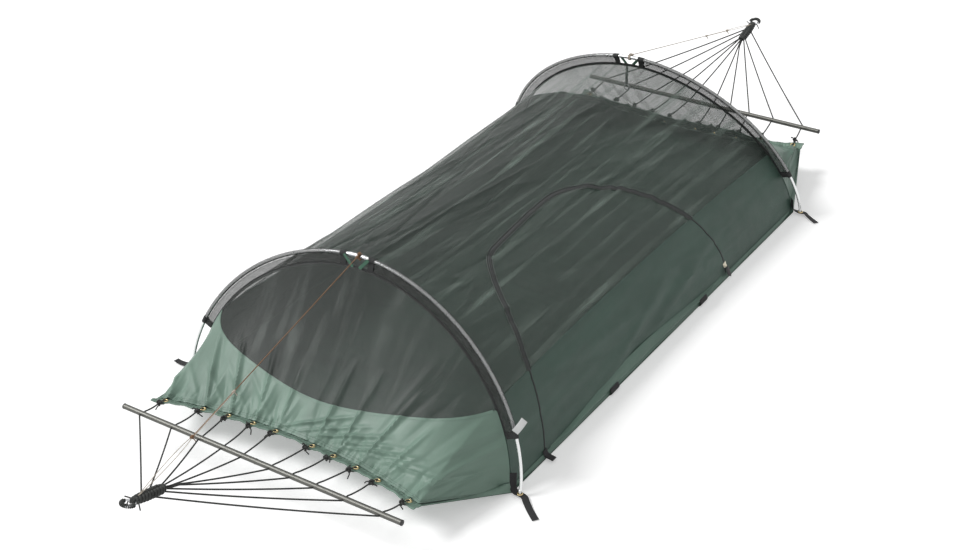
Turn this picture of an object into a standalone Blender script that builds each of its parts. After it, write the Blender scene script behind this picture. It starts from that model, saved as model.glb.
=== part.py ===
"""Hammock tent: a spreader-bar camping hammock with a mesh roof carried by two arch poles.

It stands as photographed, pulled taut between two anchors: the bed lies level between the arches
and rises to the hems, and the bars, cords and rings rise further along the line of pull.

Metres, +Z up. The tent's length runs along Y with its near end at -Y, its door faces +X, and the
origin is under the middle of the bed, on the surface that the bed's underside rests on.
"""

import math

import bmesh
import bpy
import numpy as np
from mathutils import Matrix, Vector

# Bed
BED_THICKNESS = 0.003
HEM_CORNER_Y = 1.155
HEM_CORNER_RISE = 0.104
HEM_HOLLOW = 0.058
HEM_BAND_WIDTH = 0.027
HEM_BAND_THICKNESS = 0.004
HEM_BAND_SLOPE = math.radians(15)
HEM_SCALLOP = 0.0025
HEM_BAND_STEPS = 20
BED_STEPS_ACROSS = 10
BED_STEPS_LEVEL = 3
BED_STEPS_RISING = 3

# Arches: each stands on its feet and leans in over the bed
ARCH_Y = 0.869
ARCH_LEAN = math.radians(14.5)
ARCH_HALF_SPAN = 0.560
ARCH_HEIGHT = 0.487
SLEEVE_SIDE_REACH = 0.032
SLEEVE_TOP_REACH = 0.033
ARCH_POWER = 1.865
PIVOT_HEIGHT = 0.009
POLE_RADIUS = 0.00475
POLE_SIDES = 8
POLE_END_TURN = 0.0012
SLEEVE_SIDES = 8
FERRULE_LENGTH = 0.060
FERRULE_WALL = 0.0009

# Tips and the brass eyelets that they stand in
TIP_BALL_RADIUS = 0.0030
TIP_BALL_SHARES = ((-1.0, 0.3), (-0.6, 0.8), (0.0, 1.0))
TIP_NECK_SHARE = 0.85
TIP_NECK_RADIUS = 0.0024
TIP_SHOULDER_RADIUS = 0.0056
TIP_SHOULDER_RISE = 0.0038
TIP_SHOULDER_LENGTH = 0.0080
EYELET_FLANGE_RADIUS = 0.0080
EYELET_BARREL_RADIUS = 0.0048
EYELET_BORE_RADIUS = 0.0038
EYELET_HALF_HEIGHT = 0.0015
EYELET_FLANGE = 0.0006

# Sleeves: mesh fins between the pole and the roof's seam
SEAM_HALF_SPAN = ARCH_HALF_SPAN - SLEEVE_SIDE_REACH
SEAM_HEIGHT = ARCH_HEIGHT - SLEEVE_TOP_REACH
SEAM_TAPE_WIDTH = 0.007
SEAM_TAPE_THICKNESS = 0.003
SEAM_TAPE_FOOT = 0.050
SLEEVE_WALL = 0.0010
SLEEVE_FOOT = 0.145
SLEEVE_TOP_GAP = 0.0375
SLEEVE_TOP_PLACES = (-0.0165, -0.0355)
SLEEVE_EASE = 0.0004
FIN_THICKNESS = 0.0012
SLEEVE_STEPS = 10

# Width of the bed, which follows the arches' seam, and of its hems
BED_LIP = 0.007
BED_HALF_WIDTH = SEAM_HALF_SPAN + BED_LIP
HEM_CORNER_DRAW_IN = 0.098
HEM_CORNER_HALF_WIDTH = SEAM_HALF_SPAN - HEM_CORNER_DRAW_IN

# Cloth
CLOTH = 0.0020
NET = 0.0012
TUB_HEIGHT = 0.215
ROOF_SAG = 0.030
SIDE_PULL_IN = 0.018
END_SAG = 0.030
ROOF_FOLD = 0.0045
ROOF_FOLDS = 9
ROOF_FOLD_LAST_TURN = 1.90
ROOF_FOLD_FADE_SHARES = (0.55, 0.25)
ROOF_FOLD_LAST_FADE = 0.2
ROOF_FOLD_DRIFT = 1.6
PANEL_FOLD = 0.0156
PANEL_FOLDS = 13

WALL_STEPS_LONG = 12
WALL_STEPS_HIGH = 4
WALL_STEPS_NEAR = 4
WALL_STEPS_FAR = 8
ROOF_STEPS_LONG = 10
ROOF_STEPS_WIDE = 22
END_PULL_IN_SHARE = 0.025
END_SEAM_DROP = 0.008
END_SEAM_SAG = 0.040
END_SEAM_SAG_POWER = 5.0
END_FIRST_TURN = 0.055
CORNER_TURN = 0.513
END_STEPS_WIDE = 30
PANEL_STEPS_HIGH = 4
NET_STEPS_HIGH = 4
NET_TIP = 0.006

# Door and zip, along Y and up the right-hand slope
DOOR_NEAR_Y = -0.700
DOOR_FAR_Y = 0.380
DOOR_TOP_NEAR_Y = -0.440
DOOR_TOP_FAR_Y = -0.110
DOOR_TOP_BELOW_SEAM = 0.062
DOOR_TOP_HEIGHT = SEAM_HEIGHT - DOOR_TOP_BELOW_SEAM
DOOR_NEAR_POWER = 2.6
DOOR_FAR_POWER = 2.3
DOOR_FOOT = 0.018
TAPE_WIDTH = 0.0085
TAPE_THICKNESS = 0.0016
TAPE_EASE = 0.0010
DOOR_HINGE_RISE = 0.010
DOOR_STEPS = 10
DOOR_NET_STEPS = 7
DOOR_CUT_DEPTH = 0.005
DOOR_CUT_REACH = 0.060
ZIP_SLOT = 0.0018
ZIP_STEPS = 30

# Slider and pull
SLIDER_HEIGHT = 0.052
SLIDER_LENGTH = 0.012
SLIDER_WIDTH = 0.009
SLIDER_THICKNESS = 0.0045
SLIDER_NOSE_SHARE = 0.75
SLIDER_POST_SHARE = 0.8
PULL_NECK_SHARE = 0.7
PULL_EYE_RADIUS = 0.0023
PULL_WIRE_RADIUS = 0.0008
PULL_LENGTH = 0.030
PULL_WIDTH = 0.006
PULL_THICKNESS = 0.0018

# Spreader bars
BAR_Y = 1.233
BAR_RISE = 0.125
BAR_HALF_LENGTH = 0.459
BAR_RADIUS = 0.0075
BAR_WALL = 0.0012
BAR_FERRULE_LENGTH = 0.070
CAP_LENGTH = 0.014
CAP_LIP = 0.003
CAP_TIP_SHARE = 0.85
CAP_TAPER_SHARE = 0.8
BAR_HOLE_RADIUS = 0.0028
BAR_SIDES = 12
HOLE_SIDES = 8
EYELET_SIDES = 8
BAR_HOLE_PLACES = (0.0460, 0.1125, 0.1880, 0.2820, 0.3940)
HEM_EYELET_PLACES = (0.0615, 0.1345, 0.2135, 0.2910, 0.4050)

# Hem eyelets
HEM_EYELET_RADIUS = 0.0085
HEM_EYELET_BORE = 0.0045
HEM_EYELET_INSET = 0.0135
HEM_EYELET_PROUD = 0.0010

# Cords: ten run from the hem through each bar to the woven clew and its ring
CORD_RADIUS = 0.0020
CORD_SIDES = 6
KNOT_RADIUS = 0.0058
KNOT_STAND_OFF = 0.0115
KNOT_RISE = 0.0040
CORD_TAIL = 0.006
CLEW_INNER_Y = 1.543
CLEW_INNER_RISE = 0.2546
CLEW_OUTER_Y = 1.640
CLEW_OUTER_RISE = 0.2805
CLEW_HALF_WIDTH = 0.015
CLEW_HALF_DEPTH = 0.0085
CLEW_NECK_RADIUS = 0.0065
CLEW_CORD_SPREAD = 0.0110
CLEW_CORD_ROW = 0.0038
RING_RADIUS = 0.0165
RING_WIRE_RADIUS = 0.0025
RING_STEPS = 16
EYE_CORD_RADIUS = 0.0028
RING_EASE = 0.0006
CLEW_CORD_DEPTH_SHARE = 0.22
CORD_DROOP = 0.004
CORD_DROOP_SHARE = 0.38
KNOT_WAIST_SHARE = 0.8
CLEW_SHAPE_SHARES = ((0.0, 0.55), (0.06, 1.0), (0.55, 0.95), (0.80, 0.60), (1.0, 0.35))
CLEW_NECK_DEPTH_SHARE = 0.8
GUY_END_SHARE = 0.80
GUY_END_RISE_SHARE = 0.78
EYELET_BEND = 0.008
GUY_SHARES = ((0.03, 0), (0.35, 0), (0.664, 0), (0.670, 1), (0.690, 1), (0.696, 0), (0.85, 0), (1.0, 0))
GUY_RADIUS = 0.0012
GUY_KNOT_RADIUS = 0.0045
GUY_WRAP_STEPS = 16
GUY_OFFSET = 0.006
GUY_EASE = 0.0006
GUY_LEAVES_AT = 79
GUY_WRAP_PITCH = 4 * GUY_RADIUS

# Webbing
WEBBING = 0.0012
FOOT_STRAP_WIDTH = 0.019
FOOT_STRAP_ROUTE = (
    (-0.0275, -0.0130, 0.0560),
    (-0.0265, -0.0090, 0.0300),
    (-0.0215, -0.0040, 0.0120),
    (-0.0120, 0.0, 0.0090),
    (0.0, 0.0, 0.0090),
    (0.0140, 0.0030, 0.0090),
    (0.0300, 0.0170, 0.0060),
    (0.0550, 0.0380, 0.0024),
    (0.0850, 0.0610, 0.0018),
)
FOOT_STRAP_TURN_SHARES = (
    (0.0, 1.0),
    (0.0, 1.0),
    (0.0, 1.0),
    (0.0, 1.0),
    (-0.1, 1.0),
    (-0.4, 0.9),
    (-0.6, 0.8),
    (-0.6, 0.8),
    (-0.6, 0.8),
)
ZIP_TAB_LENGTH = 0.040
ZIP_TAB_WIDTH = 0.020
ZIP_TAB_RISE = 0.018
SIDE_LOOP_WIDTH = 0.040
SIDE_LOOP_ARCH = 0.003
SIDE_LOOP_OUT = 0.014
SIDE_LOOP_PLACES = (-0.340, 0.205)
GEAR_PLACE = -0.045
GEAR_STRAP_LENGTH = 0.062
GEAR_STRAP_WIDTH = 0.009
GEAR_EYE_RADIUS = 0.0032
GEAR_EYE_WIRE = 0.0009
GEAR_RING_RADIUS = 0.0095
GEAR_RING_WIRE = 0.0016
GEAR_STRAP_STEPS = 3

# Clearances
GAP = 0.0003
SEAM_GAP = 0.0006
OVERRUN = 0.010
MERGE = 0.00001

COLOURS = {
    "cloth": ((0.085, 0.150, 0.118), 0.85, 0.0),
    "light_cloth": ((0.250, 0.370, 0.300), 0.85, 0.0),
    "net": ((0.050, 0.058, 0.052), 0.90, 0.0),
    "sleeve_net": ((0.400, 0.410, 0.395), 0.90, 0.0),
    "webbing": ((0.020, 0.020, 0.021), 0.80, 0.0),
    "cord": ((0.025, 0.026, 0.026), 0.80, 0.0),
    "guy_cord": ((0.480, 0.260, 0.130), 0.70, 0.0),
    "pole": ((0.760, 0.770, 0.760), 0.30, 1.0),
    "bar": ((0.330, 0.330, 0.310), 0.38, 1.0),
    "steel": ((0.600, 0.610, 0.620), 0.30, 1.0),
    "brass": ((0.640, 0.500, 0.220), 0.35, 1.0),
    "plastic": ((0.015, 0.015, 0.016), 0.50, 0.0),
}


def clear_scene():
    """Removes every object that a new file starts with."""
    for obj in list(bpy.data.objects):
        bpy.data.objects.remove(obj, do_unlink=True)


def material(name):
    """The plain finish of that name, made once."""
    if name in bpy.data.materials:
        return bpy.data.materials[name]
    colour, roughness, metallic = COLOURS[name]
    mat = bpy.data.materials.new(name)
    mat.use_nodes = True
    shader = mat.node_tree.nodes["Principled BSDF"]
    shader.inputs["Base Color"].default_value = (*colour, 1.0)
    shader.inputs["Roughness"].default_value = roughness
    shader.inputs["Metallic"].default_value = metallic
    return mat


def add_object(name, data, finish, parent=None):
    """Links an object with its material, under its body's empty where it has one."""
    obj = bpy.data.objects.new(name, data)
    bpy.context.scene.collection.objects.link(obj)
    if finish is not None:
        data.materials.append(material(finish))
    if parent is not None:
        obj.parent = parent
        obj.matrix_parent_inverse = parent.matrix_world.inverted()
    return obj


def add_mesh(name, bm, finish, parent=None):
    """Turns a bmesh into an object with its faces pointing out."""
    bmesh.ops.recalc_face_normals(bm, faces=bm.faces)
    data = bpy.data.meshes.new(name)
    bm.to_mesh(data)
    bm.free()
    data.shade_smooth()
    data.set_sharp_from_angle(angle=math.radians(40))
    return add_object(name, data, finish, parent)


def pivot(name, place):
    """An empty on a joint's axis, which carries that joint's body."""
    empty = bpy.data.objects.new(name, None)
    empty.location = place
    bpy.context.scene.collection.objects.link(empty)
    bpy.context.view_layer.update()
    return empty


def hide_cutter(obj):
    """Keeps a cutting tool out of the model."""
    obj.hide_render = True
    obj.display_type = "WIRE"
    return obj


def boolean(obj, tool, operation):
    """Adds an exact Boolean to an object."""
    mod = obj.modifiers.new(operation.title(), "BOOLEAN")
    mod.operation = operation
    mod.object = hide_cutter(tool)
    mod.solver = "EXACT"
    return mod


def grid_normals(grid):
    """Unit normals of a grid of points, from its own rows and columns."""
    along = np.gradient(grid, axis=0)
    across = np.gradient(grid, axis=1)
    normal = np.cross(along, across)
    length = np.linalg.norm(normal, axis=2, keepdims=True)
    return normal / np.maximum(length, MERGE**2)


def sheet(name, grid, thickness, finish, parent=None, normals=None):
    """A closed sheet of cloth, half of its thickness to each side of a grid of points."""
    grid = np.asarray(grid, dtype=float)
    normal = grid_normals(grid) if normals is None else normals
    rows, columns = grid.shape[:2]
    bm = bmesh.new()
    sides = []
    for sign in (1.0, -1.0):
        points = grid + sign * normal * thickness / 2.0
        sides.append([[bm.verts.new(points[i, j]) for j in range(columns)] for i in range(rows)])
    front, back = sides
    for i in range(rows - 1):
        for j in range(columns - 1):
            bm.faces.new((front[i][j], front[i + 1][j], front[i + 1][j + 1], front[i][j + 1]))
            bm.faces.new((back[i][j], back[i][j + 1], back[i + 1][j + 1], back[i + 1][j]))
    rim = [(i, 0) for i in range(rows)]
    rim += [(rows - 1, j) for j in range(1, columns)]
    rim += [(i, columns - 1) for i in range(rows - 2, -1, -1)]
    rim += [(0, j) for j in range(columns - 2, 0, -1)]
    for (i, j), (k, m) in zip(rim, rim[1:] + rim[:1]):
        bm.faces.new((front[i][j], back[i][j], back[k][m], front[k][m]))
    return add_mesh(name, bm, finish, parent)


def sweep(name, frames, section, finish, parent=None, closed=False):
    """Carries a closed section along frames of (place, first axis, second axis)."""
    bm = bmesh.new()
    rings = []
    for place, first, second in frames:
        centre, first, second = (np.asarray(vector) for vector in (place, first, second))
        ring = [bm.verts.new(centre + a * first + b * second) for a, b in section]
        rings.append(ring)
    count = len(section)
    pairs = list(zip(rings, rings[1:]))
    if closed:
        pairs.append((rings[-1], rings[0]))
    for one, two in pairs:
        for k in range(count):
            m = (k + 1) % count
            bm.faces.new((one[k], one[m], two[m], two[k]))
    if not closed:
        bm.faces.new(rings[0])
        bm.faces.new(rings[-1][::-1])
    return add_mesh(name, bm, finish, parent)


def circle(radius, sides, turn=0.0):
    """A regular section."""
    return [
        (radius * math.cos(turn + math.tau * k / sides), radius * math.sin(turn + math.tau * k / sides))
        for k in range(sides)
    ]


def rectangle(width, height):
    """A flat section, width along the first axis."""
    a, b = width / 2, height / 2
    return [(-a, -b), (a, -b), (a, b), (-a, b)]


def lathe(name, profile, place, axis, sides, finish, parent=None, closed=True):
    """Turns a profile of (radius, height) about an axis; a closed profile makes a ring."""
    turn = Vector((0, 0, 1)).rotation_difference(Vector(axis)).to_matrix().to_4x4()
    move = Matrix.Translation(Vector(place)) @ turn
    bm = bmesh.new()
    rings = []
    for radius, height in profile:
        if radius <= MERGE:
            rings.append([bm.verts.new(move @ Vector((0, 0, height)))])
            continue
        ring = []
        for k in range(sides):
            angle = math.tau * k / sides
            spot = Vector((radius * math.cos(angle), radius * math.sin(angle), height))
            ring.append(bm.verts.new(move @ spot))
        rings.append(ring)
    pairs = list(zip(rings, rings[1:]))
    if closed:
        pairs.append((rings[-1], rings[0]))
    for one, two in pairs:
        for k in range(sides):
            m = (k + 1) % sides
            corners = [one[k % len(one)], one[m % len(one)], two[m % len(two)], two[k % len(two)]]
            corners = list(dict.fromkeys(corners))
            if len(corners) > 2:
                bm.faces.new(corners)
    return add_mesh(name, bm, finish, parent)


def torus(name, centre, axis, radius, wire, steps, sides, finish, parent=None):
    """A closed ring of round wire."""
    turn = np.array(Vector((0, 0, 1)).rotation_difference(Vector(axis)).to_matrix())
    frames = []
    for k in range(steps):
        angle = math.tau * k / steps
        out = turn @ np.array([math.cos(angle), math.sin(angle), 0.0])
        frames.append((np.asarray(centre) + radius * out, out, turn @ np.array([0.0, 0.0, 1.0])))
    return sweep(name, frames, circle(wire, sides), finish, parent, closed=True)


def superellipse(turn, half_span, height):
    """A point of an arch in its own plane, from the left foot at 0 to the right foot at pi."""
    c, s = math.cos(turn), math.sin(turn)
    across = -half_span * math.copysign(abs(c) ** (2 / ARCH_POWER), c)
    return across, height * abs(s) ** (2 / ARCH_POWER)


def turn_at_height(height, total):
    """The arch's turn at which it stands that high above its feet."""
    return math.asin((height / total) ** (ARCH_POWER / 2))


def turn_at_place(across, half_span):
    """The arch's turn at that distance left (-) or right (+) of the middle."""
    return math.acos(-math.copysign((abs(across) / half_span) ** (ARCH_POWER / 2), across))


def arch_point(end, across, up, along=0.0):
    """World place of a point in an arch's plane; end is -1 near and +1 far, along is out of the tent."""
    lean = -end * ARCH_LEAN
    y = end * ARCH_Y + up * math.sin(lean) + along * end * math.cos(ARCH_LEAN)
    z = PIVOT_HEIGHT + up * math.cos(ARCH_LEAN) + along * math.sin(ARCH_LEAN)
    return np.array([across, y, z])


def pole_point(end, across):
    """A point of a pole's centreline at a place across the tent."""
    turn = turn_at_place(across, ARCH_HALF_SPAN)
    return arch_point(end, *superellipse(turn, ARCH_HALF_SPAN, ARCH_HEIGHT))


def arch_normal(end):
    """Unit normal of an arch's plane, out of the tent."""
    return np.array([0.0, end * math.cos(ARCH_LEAN), math.sin(ARCH_LEAN)])


def arch_frames(end, half_span, height, turns):
    """Sweep frames along an arch: place, outward in its plane, and across its plane."""
    frames = []
    small = 1e-4
    for turn in turns:
        before = np.array(superellipse(turn - small, half_span, height))
        after = np.array(superellipse(turn + small, half_span, height))
        tangent = (after - before) / np.linalg.norm(after - before)
        out = np.array([-tangent[1], tangent[0]])
        place = superellipse(turn, half_span, height)
        outward = arch_point(end, out[0], out[1]) - arch_point(end, 0.0, 0.0)
        frames.append((arch_point(end, *place), outward, arch_normal(end)))
    return frames


def even_turns(first, last, half_span, height, steps):
    """Turns spaced evenly by length along an arch."""
    fine = np.linspace(first, last, 400)
    points = np.array([superellipse(turn, half_span, height) for turn in fine])
    run = np.r_[0.0, np.cumsum(np.linalg.norm(np.diff(points, axis=0), axis=1))]
    return np.interp(np.linspace(0.0, run[-1], steps + 1), run, fine)


def seam_point(end, turn, along=0.0):
    """A point of the seam where roof, end net and sleeve meet."""
    return arch_point(end, *superellipse(turn, SEAM_HALF_SPAN, SEAM_HEIGHT), along=along)


def roof_inset():
    """How far from the arch's plane the roof starts, clear of the seam tape."""
    return SEAM_TAPE_THICKNESS / 2 + GAP + CLOTH / 2 * math.tan(ARCH_LEAN) + GAP


def roof_base(share, turn):
    """The roof and walls between the arches, without folds: share runs from near to far."""
    near = seam_point(-1, turn, along=-roof_inset())
    far = seam_point(1, turn, along=-roof_inset())
    point = near * (1 - share) + far * share
    slack = 4 * share * (1 - share)
    point[2] -= ROOF_SAG * slack * math.sin(turn) ** 2
    point[0] -= math.copysign(SIDE_PULL_IN * slack * abs(math.sin(2 * turn)), point[0])
    return point


def roof_folds(share, turn):
    """Long shallow folds that run from arch to arch and die out at the seams."""
    slack = math.sin(math.pi * min(max(share, 0.0), 1.0)) ** 0.5
    start, fade = ROOF_FOLD_FADE_SHARES
    above = min(1.0, max(0.0, (math.sin(turn) - start) / fade))
    above *= min(1.0, max(0.0, (ROOF_FOLD_LAST_TURN - turn) / ROOF_FOLD_LAST_FADE))
    wave = math.sin(ROOF_FOLDS * 2 * turn + ROOF_FOLD_DRIFT * math.sin(math.pi * share))
    return ROOF_FOLD * slack * above * wave


def roof_point(share, turn):
    """The roof with its folds, moved along its normal."""
    small = 1e-3
    point = roof_base(share, turn)
    along = roof_base(min(share + small, 1.0), turn) - roof_base(max(share - small, 0.0), turn)
    around = roof_base(share, turn + small) - roof_base(share, turn - small)
    normal = np.cross(around, along)
    normal /= np.linalg.norm(normal)
    return point + normal * roof_folds(share, turn)


def turn_for_height(share, height):
    """The turn on the right-hand slope at which the unfolded roof stands that high."""
    low, high = math.pi / 2, math.pi
    for _ in range(40):
        middle = (low + high) / 2
        if roof_base(share, middle)[2] > height:
            low = middle
        else:
            high = middle
    return (low + high) / 2


def share_at(y):
    """Where along the roof a place on Y lies, at mid height of its walls."""
    reach = ARCH_Y - roof_inset()
    return (y + reach) / (2 * reach)


def floor_top():
    """Height of the bed's upper face."""
    return BED_THICKNESS


def wall_foot():
    """Height of the lower edges of the walls, just clear of the bed."""
    return floor_top() + GAP + GAP


def zip_line(steps):
    """Points (y, height) along the zip, spaced evenly, from its near foot to its far foot."""
    fine = []
    for k in range(401):
        angle = math.pi / 2 * k / 400
        q = math.cos(angle) ** (2 / DOOR_NEAR_POWER)
        rise = math.sin(angle) ** (2 / DOOR_NEAR_POWER)
        y = DOOR_TOP_NEAR_Y - q * (DOOR_TOP_NEAR_Y - DOOR_NEAR_Y)
        fine.append((y, DOOR_FOOT + (DOOR_TOP_HEIGHT - DOOR_FOOT) * rise))
    for k in range(401):
        angle = math.pi / 2 * (1 - k / 400)
        q = math.cos(angle) ** (2 / DOOR_FAR_POWER)
        rise = math.sin(angle) ** (2 / DOOR_FAR_POWER)
        y = DOOR_TOP_FAR_Y + q * (DOOR_FAR_Y - DOOR_TOP_FAR_Y)
        fine.append((y, DOOR_FOOT + (DOOR_TOP_HEIGHT - DOOR_FOOT) * rise))
    world = np.array([slope_point(y, height) for y, height in fine])
    run = np.r_[0.0, np.cumsum(np.linalg.norm(np.diff(world, axis=0), axis=1))]
    picks = np.linspace(0.0, run[-1], steps + 1)
    fine = np.array(fine)
    return np.c_[np.interp(picks, run, fine[:, 0]), np.interp(picks, run, fine[:, 1])]


def slope_point(y, height):
    """A point of the right-hand slope by its place along the tent and its height, with folds."""
    share = share_at(y)
    return roof_point(share, turn_for_height(share, height))


def slope_normal(y, height):
    """Outward unit normal of the right-hand slope, without its folds."""
    share = share_at(y)
    turn = turn_for_height(share, height)
    small = 1e-3
    along = roof_base(share + small, turn) - roof_base(share - small, turn)
    around = roof_base(share, turn + small) - roof_base(share, turn - small)
    normal = np.cross(along, around)
    normal /= np.linalg.norm(normal)
    return normal if normal[0] > 0 else -normal


def hem_y(x):
    """How far out the hem's edge lies at a place across the bed."""
    return HEM_CORNER_Y - HEM_HOLLOW * (1 - (min(abs(x), HEM_CORNER_HALF_WIDTH) / HEM_CORNER_HALF_WIDTH) ** 2)


def hem_inner_y(x):
    """How far out the bed and the end panel reach, just short of the hem band."""
    return hem_y(x) - HEM_BAND_WIDTH * math.cos(HEM_BAND_SLOPE) - SEAM_GAP


def hem_inner_rise():
    """Height of the hem band's inner edge, at its middle."""
    return HEM_CORNER_RISE - HEM_BAND_WIDTH * math.sin(HEM_BAND_SLOPE)


def bed_point(end, across, share):
    """The bed's middle surface beyond an arch: across runs -1 to 1, share from the arch to the hem."""
    foot = np.array([across * BED_HALF_WIDTH, ARCH_Y, BED_THICKNESS / 2])
    x = across * (HEM_CORNER_HALF_WIDTH + BED_HALF_WIDTH - SEAM_HALF_SPAN)
    hem = np.array([x, hem_inner_y(x), hem_inner_rise() - BED_THICKNESS / 2 - GAP])
    point = foot * (1 - share) + hem * share
    point[1] *= end
    return point


def build_bed():
    """The sheet that carries the sleeper: level between the arches, rising to both hems."""
    across = np.linspace(-1, 1, BED_STEPS_ACROSS + 1)
    rising = np.linspace(1, 0, BED_STEPS_RISING + 1)
    rows = [[bed_point(-1, a, s) for a in across] for s in rising]
    for k in range(1, BED_STEPS_LEVEL):
        y = ARCH_Y * (2 * k / BED_STEPS_LEVEL - 1)
        rows.append([np.array([a * BED_HALF_WIDTH, y, BED_THICKNESS / 2]) for a in across])
    rows += [[bed_point(1, a, s) for a in across] for s in rising[::-1]]
    grid = np.array(rows)
    normals = grid_normals(grid)
    level = BED_STEPS_RISING + 1
    normals[level - 1 : level - 1 + BED_STEPS_LEVEL + 1] = (0.0, 0.0, -1.0)
    return sheet("bed_floor", grid, BED_THICKNESS, "cloth", normals=normals)


def wall_grid(side, shares, steps):
    """Rows of points up a side wall from the bed to the roof's lower seam."""
    rows = []
    for share in shares:
        top = turn_for_height(share, TUB_HEIGHT)
        row = []
        for k in range(steps + 1):
            turn = math.pi - (math.pi - top) * k / steps
            point = roof_point(share, turn)
            if k == 0:
                point[2] = wall_foot()
            row.append(np.array([side * point[0], point[1], point[2]]))
        rows.append(row)
    return np.array(rows)


def build_left_wall():
    """The closed side of the tub."""
    grid = wall_grid(-1, np.linspace(0, 1, WALL_STEPS_LONG + 1), WALL_STEPS_HIGH)
    return sheet("side_wall_left", grid, CLOTH, "cloth")


def zip_frames():
    """Frames along the zip: place, along the cloth away from the door, and out of the tent."""
    line = zip_line(ZIP_STEPS)
    places = np.array([slope_point(y, height) for y, height in line])
    tangents = np.gradient(places, axis=0)
    frames = []
    for (y, height), place, tangent in zip(line, places, tangents):
        normal = slope_normal(y, height)
        tangent = tangent / np.linalg.norm(tangent)
        away = np.cross(normal, tangent)
        away /= np.linalg.norm(away)
        if away @ (place - slope_point((DOOR_NEAR_Y + DOOR_FAR_Y) / 2, TUB_HEIGHT)) < 0:
            away = -away
        frames.append((place, away, normal))
    return frames


def door_prism(name, frames, reach, foot):
    """A cutting tool through the slope: the zip's outline moved out by reach, closed below at foot."""
    bm = bmesh.new()
    loops = []
    for depth, shift in ((-1, (-1, 0, -1)), (-1, (0, 0, 0)), (1, (0, 0, 0)), (1, (2, 0, 2))):
        points = [place + away * reach + normal * depth * DOOR_CUT_DEPTH for place, away, normal in frames]
        points = [np.array([*points[0][:2], foot])] + points + [np.array([*points[-1][:2], foot])]
        points = [point + np.array(shift) * DOOR_CUT_REACH for point in points]
        loops.append([bm.verts.new(point) for point in points])
    bm.faces.new(loops[0])
    bm.faces.new(loops[-1][::-1])
    count = len(loops[0])
    for one, two in zip(loops, loops[1:]):
        for k in range(count):
            m = (k + 1) % count
            bm.faces.new((one[k], two[k], two[m], one[m]))
    bmesh.ops.triangulate(bm, faces=[face for face in bm.faces if len(face.verts) > 4])
    return hide_cutter(add_mesh(name, bm, None))


def build_roof_and_right_side(door_pivot):
    """Roof net, right walls, zip tapes and the door between the zip's two legs."""
    frames = zip_frames()
    reach = ZIP_SLOT / 2 + TAPE_WIDTH + TAPE_EASE
    hole = door_prism("door_hole", frames, reach, wall_foot() - OVERRUN)
    leaf = door_prism("door_leaf", frames, -reach, wall_foot())

    shares = np.linspace(0, 1, ROOF_STEPS_LONG + 1)
    rows = []
    for share in shares:
        top = turn_for_height(share, TUB_HEIGHT + SEAM_GAP)
        turns = np.linspace(math.pi - top, top, ROOF_STEPS_WIDE + 1)
        rows.append([roof_point(share, turn) for turn in turns])
    roof = sheet("roof_net", rows, NET, "net")
    boolean(roof, hole, "DIFFERENCE")

    near_end = share_at((DOOR_NEAR_Y + DOOR_TOP_NEAR_Y) / 2)
    far_start = share_at((DOOR_FAR_Y + DOOR_TOP_FAR_Y) / 2)
    near_grid = wall_grid(1, np.linspace(0, near_end, WALL_STEPS_NEAR + 1), WALL_STEPS_HIGH)
    near = sheet("side_wall_right_near", near_grid, CLOTH, "cloth")
    far_grid = wall_grid(1, np.linspace(far_start, 1, WALL_STEPS_FAR + 1), WALL_STEPS_HIGH)
    far = sheet("side_wall_right_far", far_grid, CLOTH, "cloth")
    boolean(near, hole, "DIFFERENCE")
    boolean(far, hole, "DIFFERENCE")

    inside = np.linspace(share_at(DOOR_NEAR_Y), share_at(DOOR_FAR_Y), DOOR_STEPS + 1)
    panel = sheet("door_panel", wall_grid(1, inside, WALL_STEPS_HIGH), CLOTH, "cloth", door_pivot)
    boolean(panel, leaf, "INTERSECT")
    rows = []
    for share in inside:
        low = turn_for_height(share, TUB_HEIGHT + SEAM_GAP)
        high = turn_for_height(share, DOOR_TOP_HEIGHT + SEAM_GAP)
        rows.append([roof_point(share, turn) for turn in np.linspace(high, low, DOOR_NET_STEPS + 1)])
    net = sheet("door_net", rows, NET, "net", door_pivot)
    boolean(net, leaf, "INTERSECT")

    middle = (ZIP_SLOT + TAPE_WIDTH) / 2
    section = rectangle(TAPE_WIDTH, TAPE_THICKNESS)
    outer = [(place + away * middle, away, normal) for place, away, normal in frames]
    inner = [(place - away * middle, away, normal) for place, away, normal in frames]
    sweep("zip_tape", outer, section, "webbing")
    sweep("door_zip_tape", inner, section, "webbing", door_pivot)
    return frames


def hem_target(turn):
    """Where the end cloth meets the bed or the hem at a turn of the arch, left half, near or far."""
    corner = np.array([HEM_CORNER_HALF_WIDTH, hem_inner_y(HEM_CORNER_HALF_WIDTH), hem_inner_rise()])
    foot = np.array([SEAM_HALF_SPAN, ARCH_Y, BED_THICKNESS / 2])
    folded = min(turn, math.pi - turn)
    side = -1 if turn < math.pi / 2 else 1
    if folded < CORNER_TURN:
        share = folded / CORNER_TURN
        point = foot * (1 - share) + corner * share
    else:
        x = HEM_CORNER_HALF_WIDTH * (math.pi / 2 - folded) / (math.pi / 2 - CORNER_TURN)
        point = np.array([x, hem_inner_y(x), hem_inner_rise()])
    point[0] *= side
    point[2] += BED_THICKNESS / 2 + CLOTH
    return point


def end_point(end, turn, share, folds=True):
    """The cloth beyond an arch: share runs from the arch's seam to the hem."""
    start = seam_point(end, turn, along=SEAM_TAPE_THICKNESS / 2 + CLOTH)
    target = hem_target(turn)
    target[1] *= end
    point = start * (1 - share) + target * share
    slack = 4 * share * (1 - share)
    point[2] -= END_SAG * slack * math.sin(turn) ** 2
    point[0] *= 1 - END_PULL_IN_SHARE * slack
    if folds:
        fold = PANEL_FOLD * share**1.5 * math.sqrt(max(1 - share, 0.0)) * math.sin(turn)
        point[2] += fold * math.cos(PANEL_FOLDS * 2 * turn)
    return point


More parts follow.
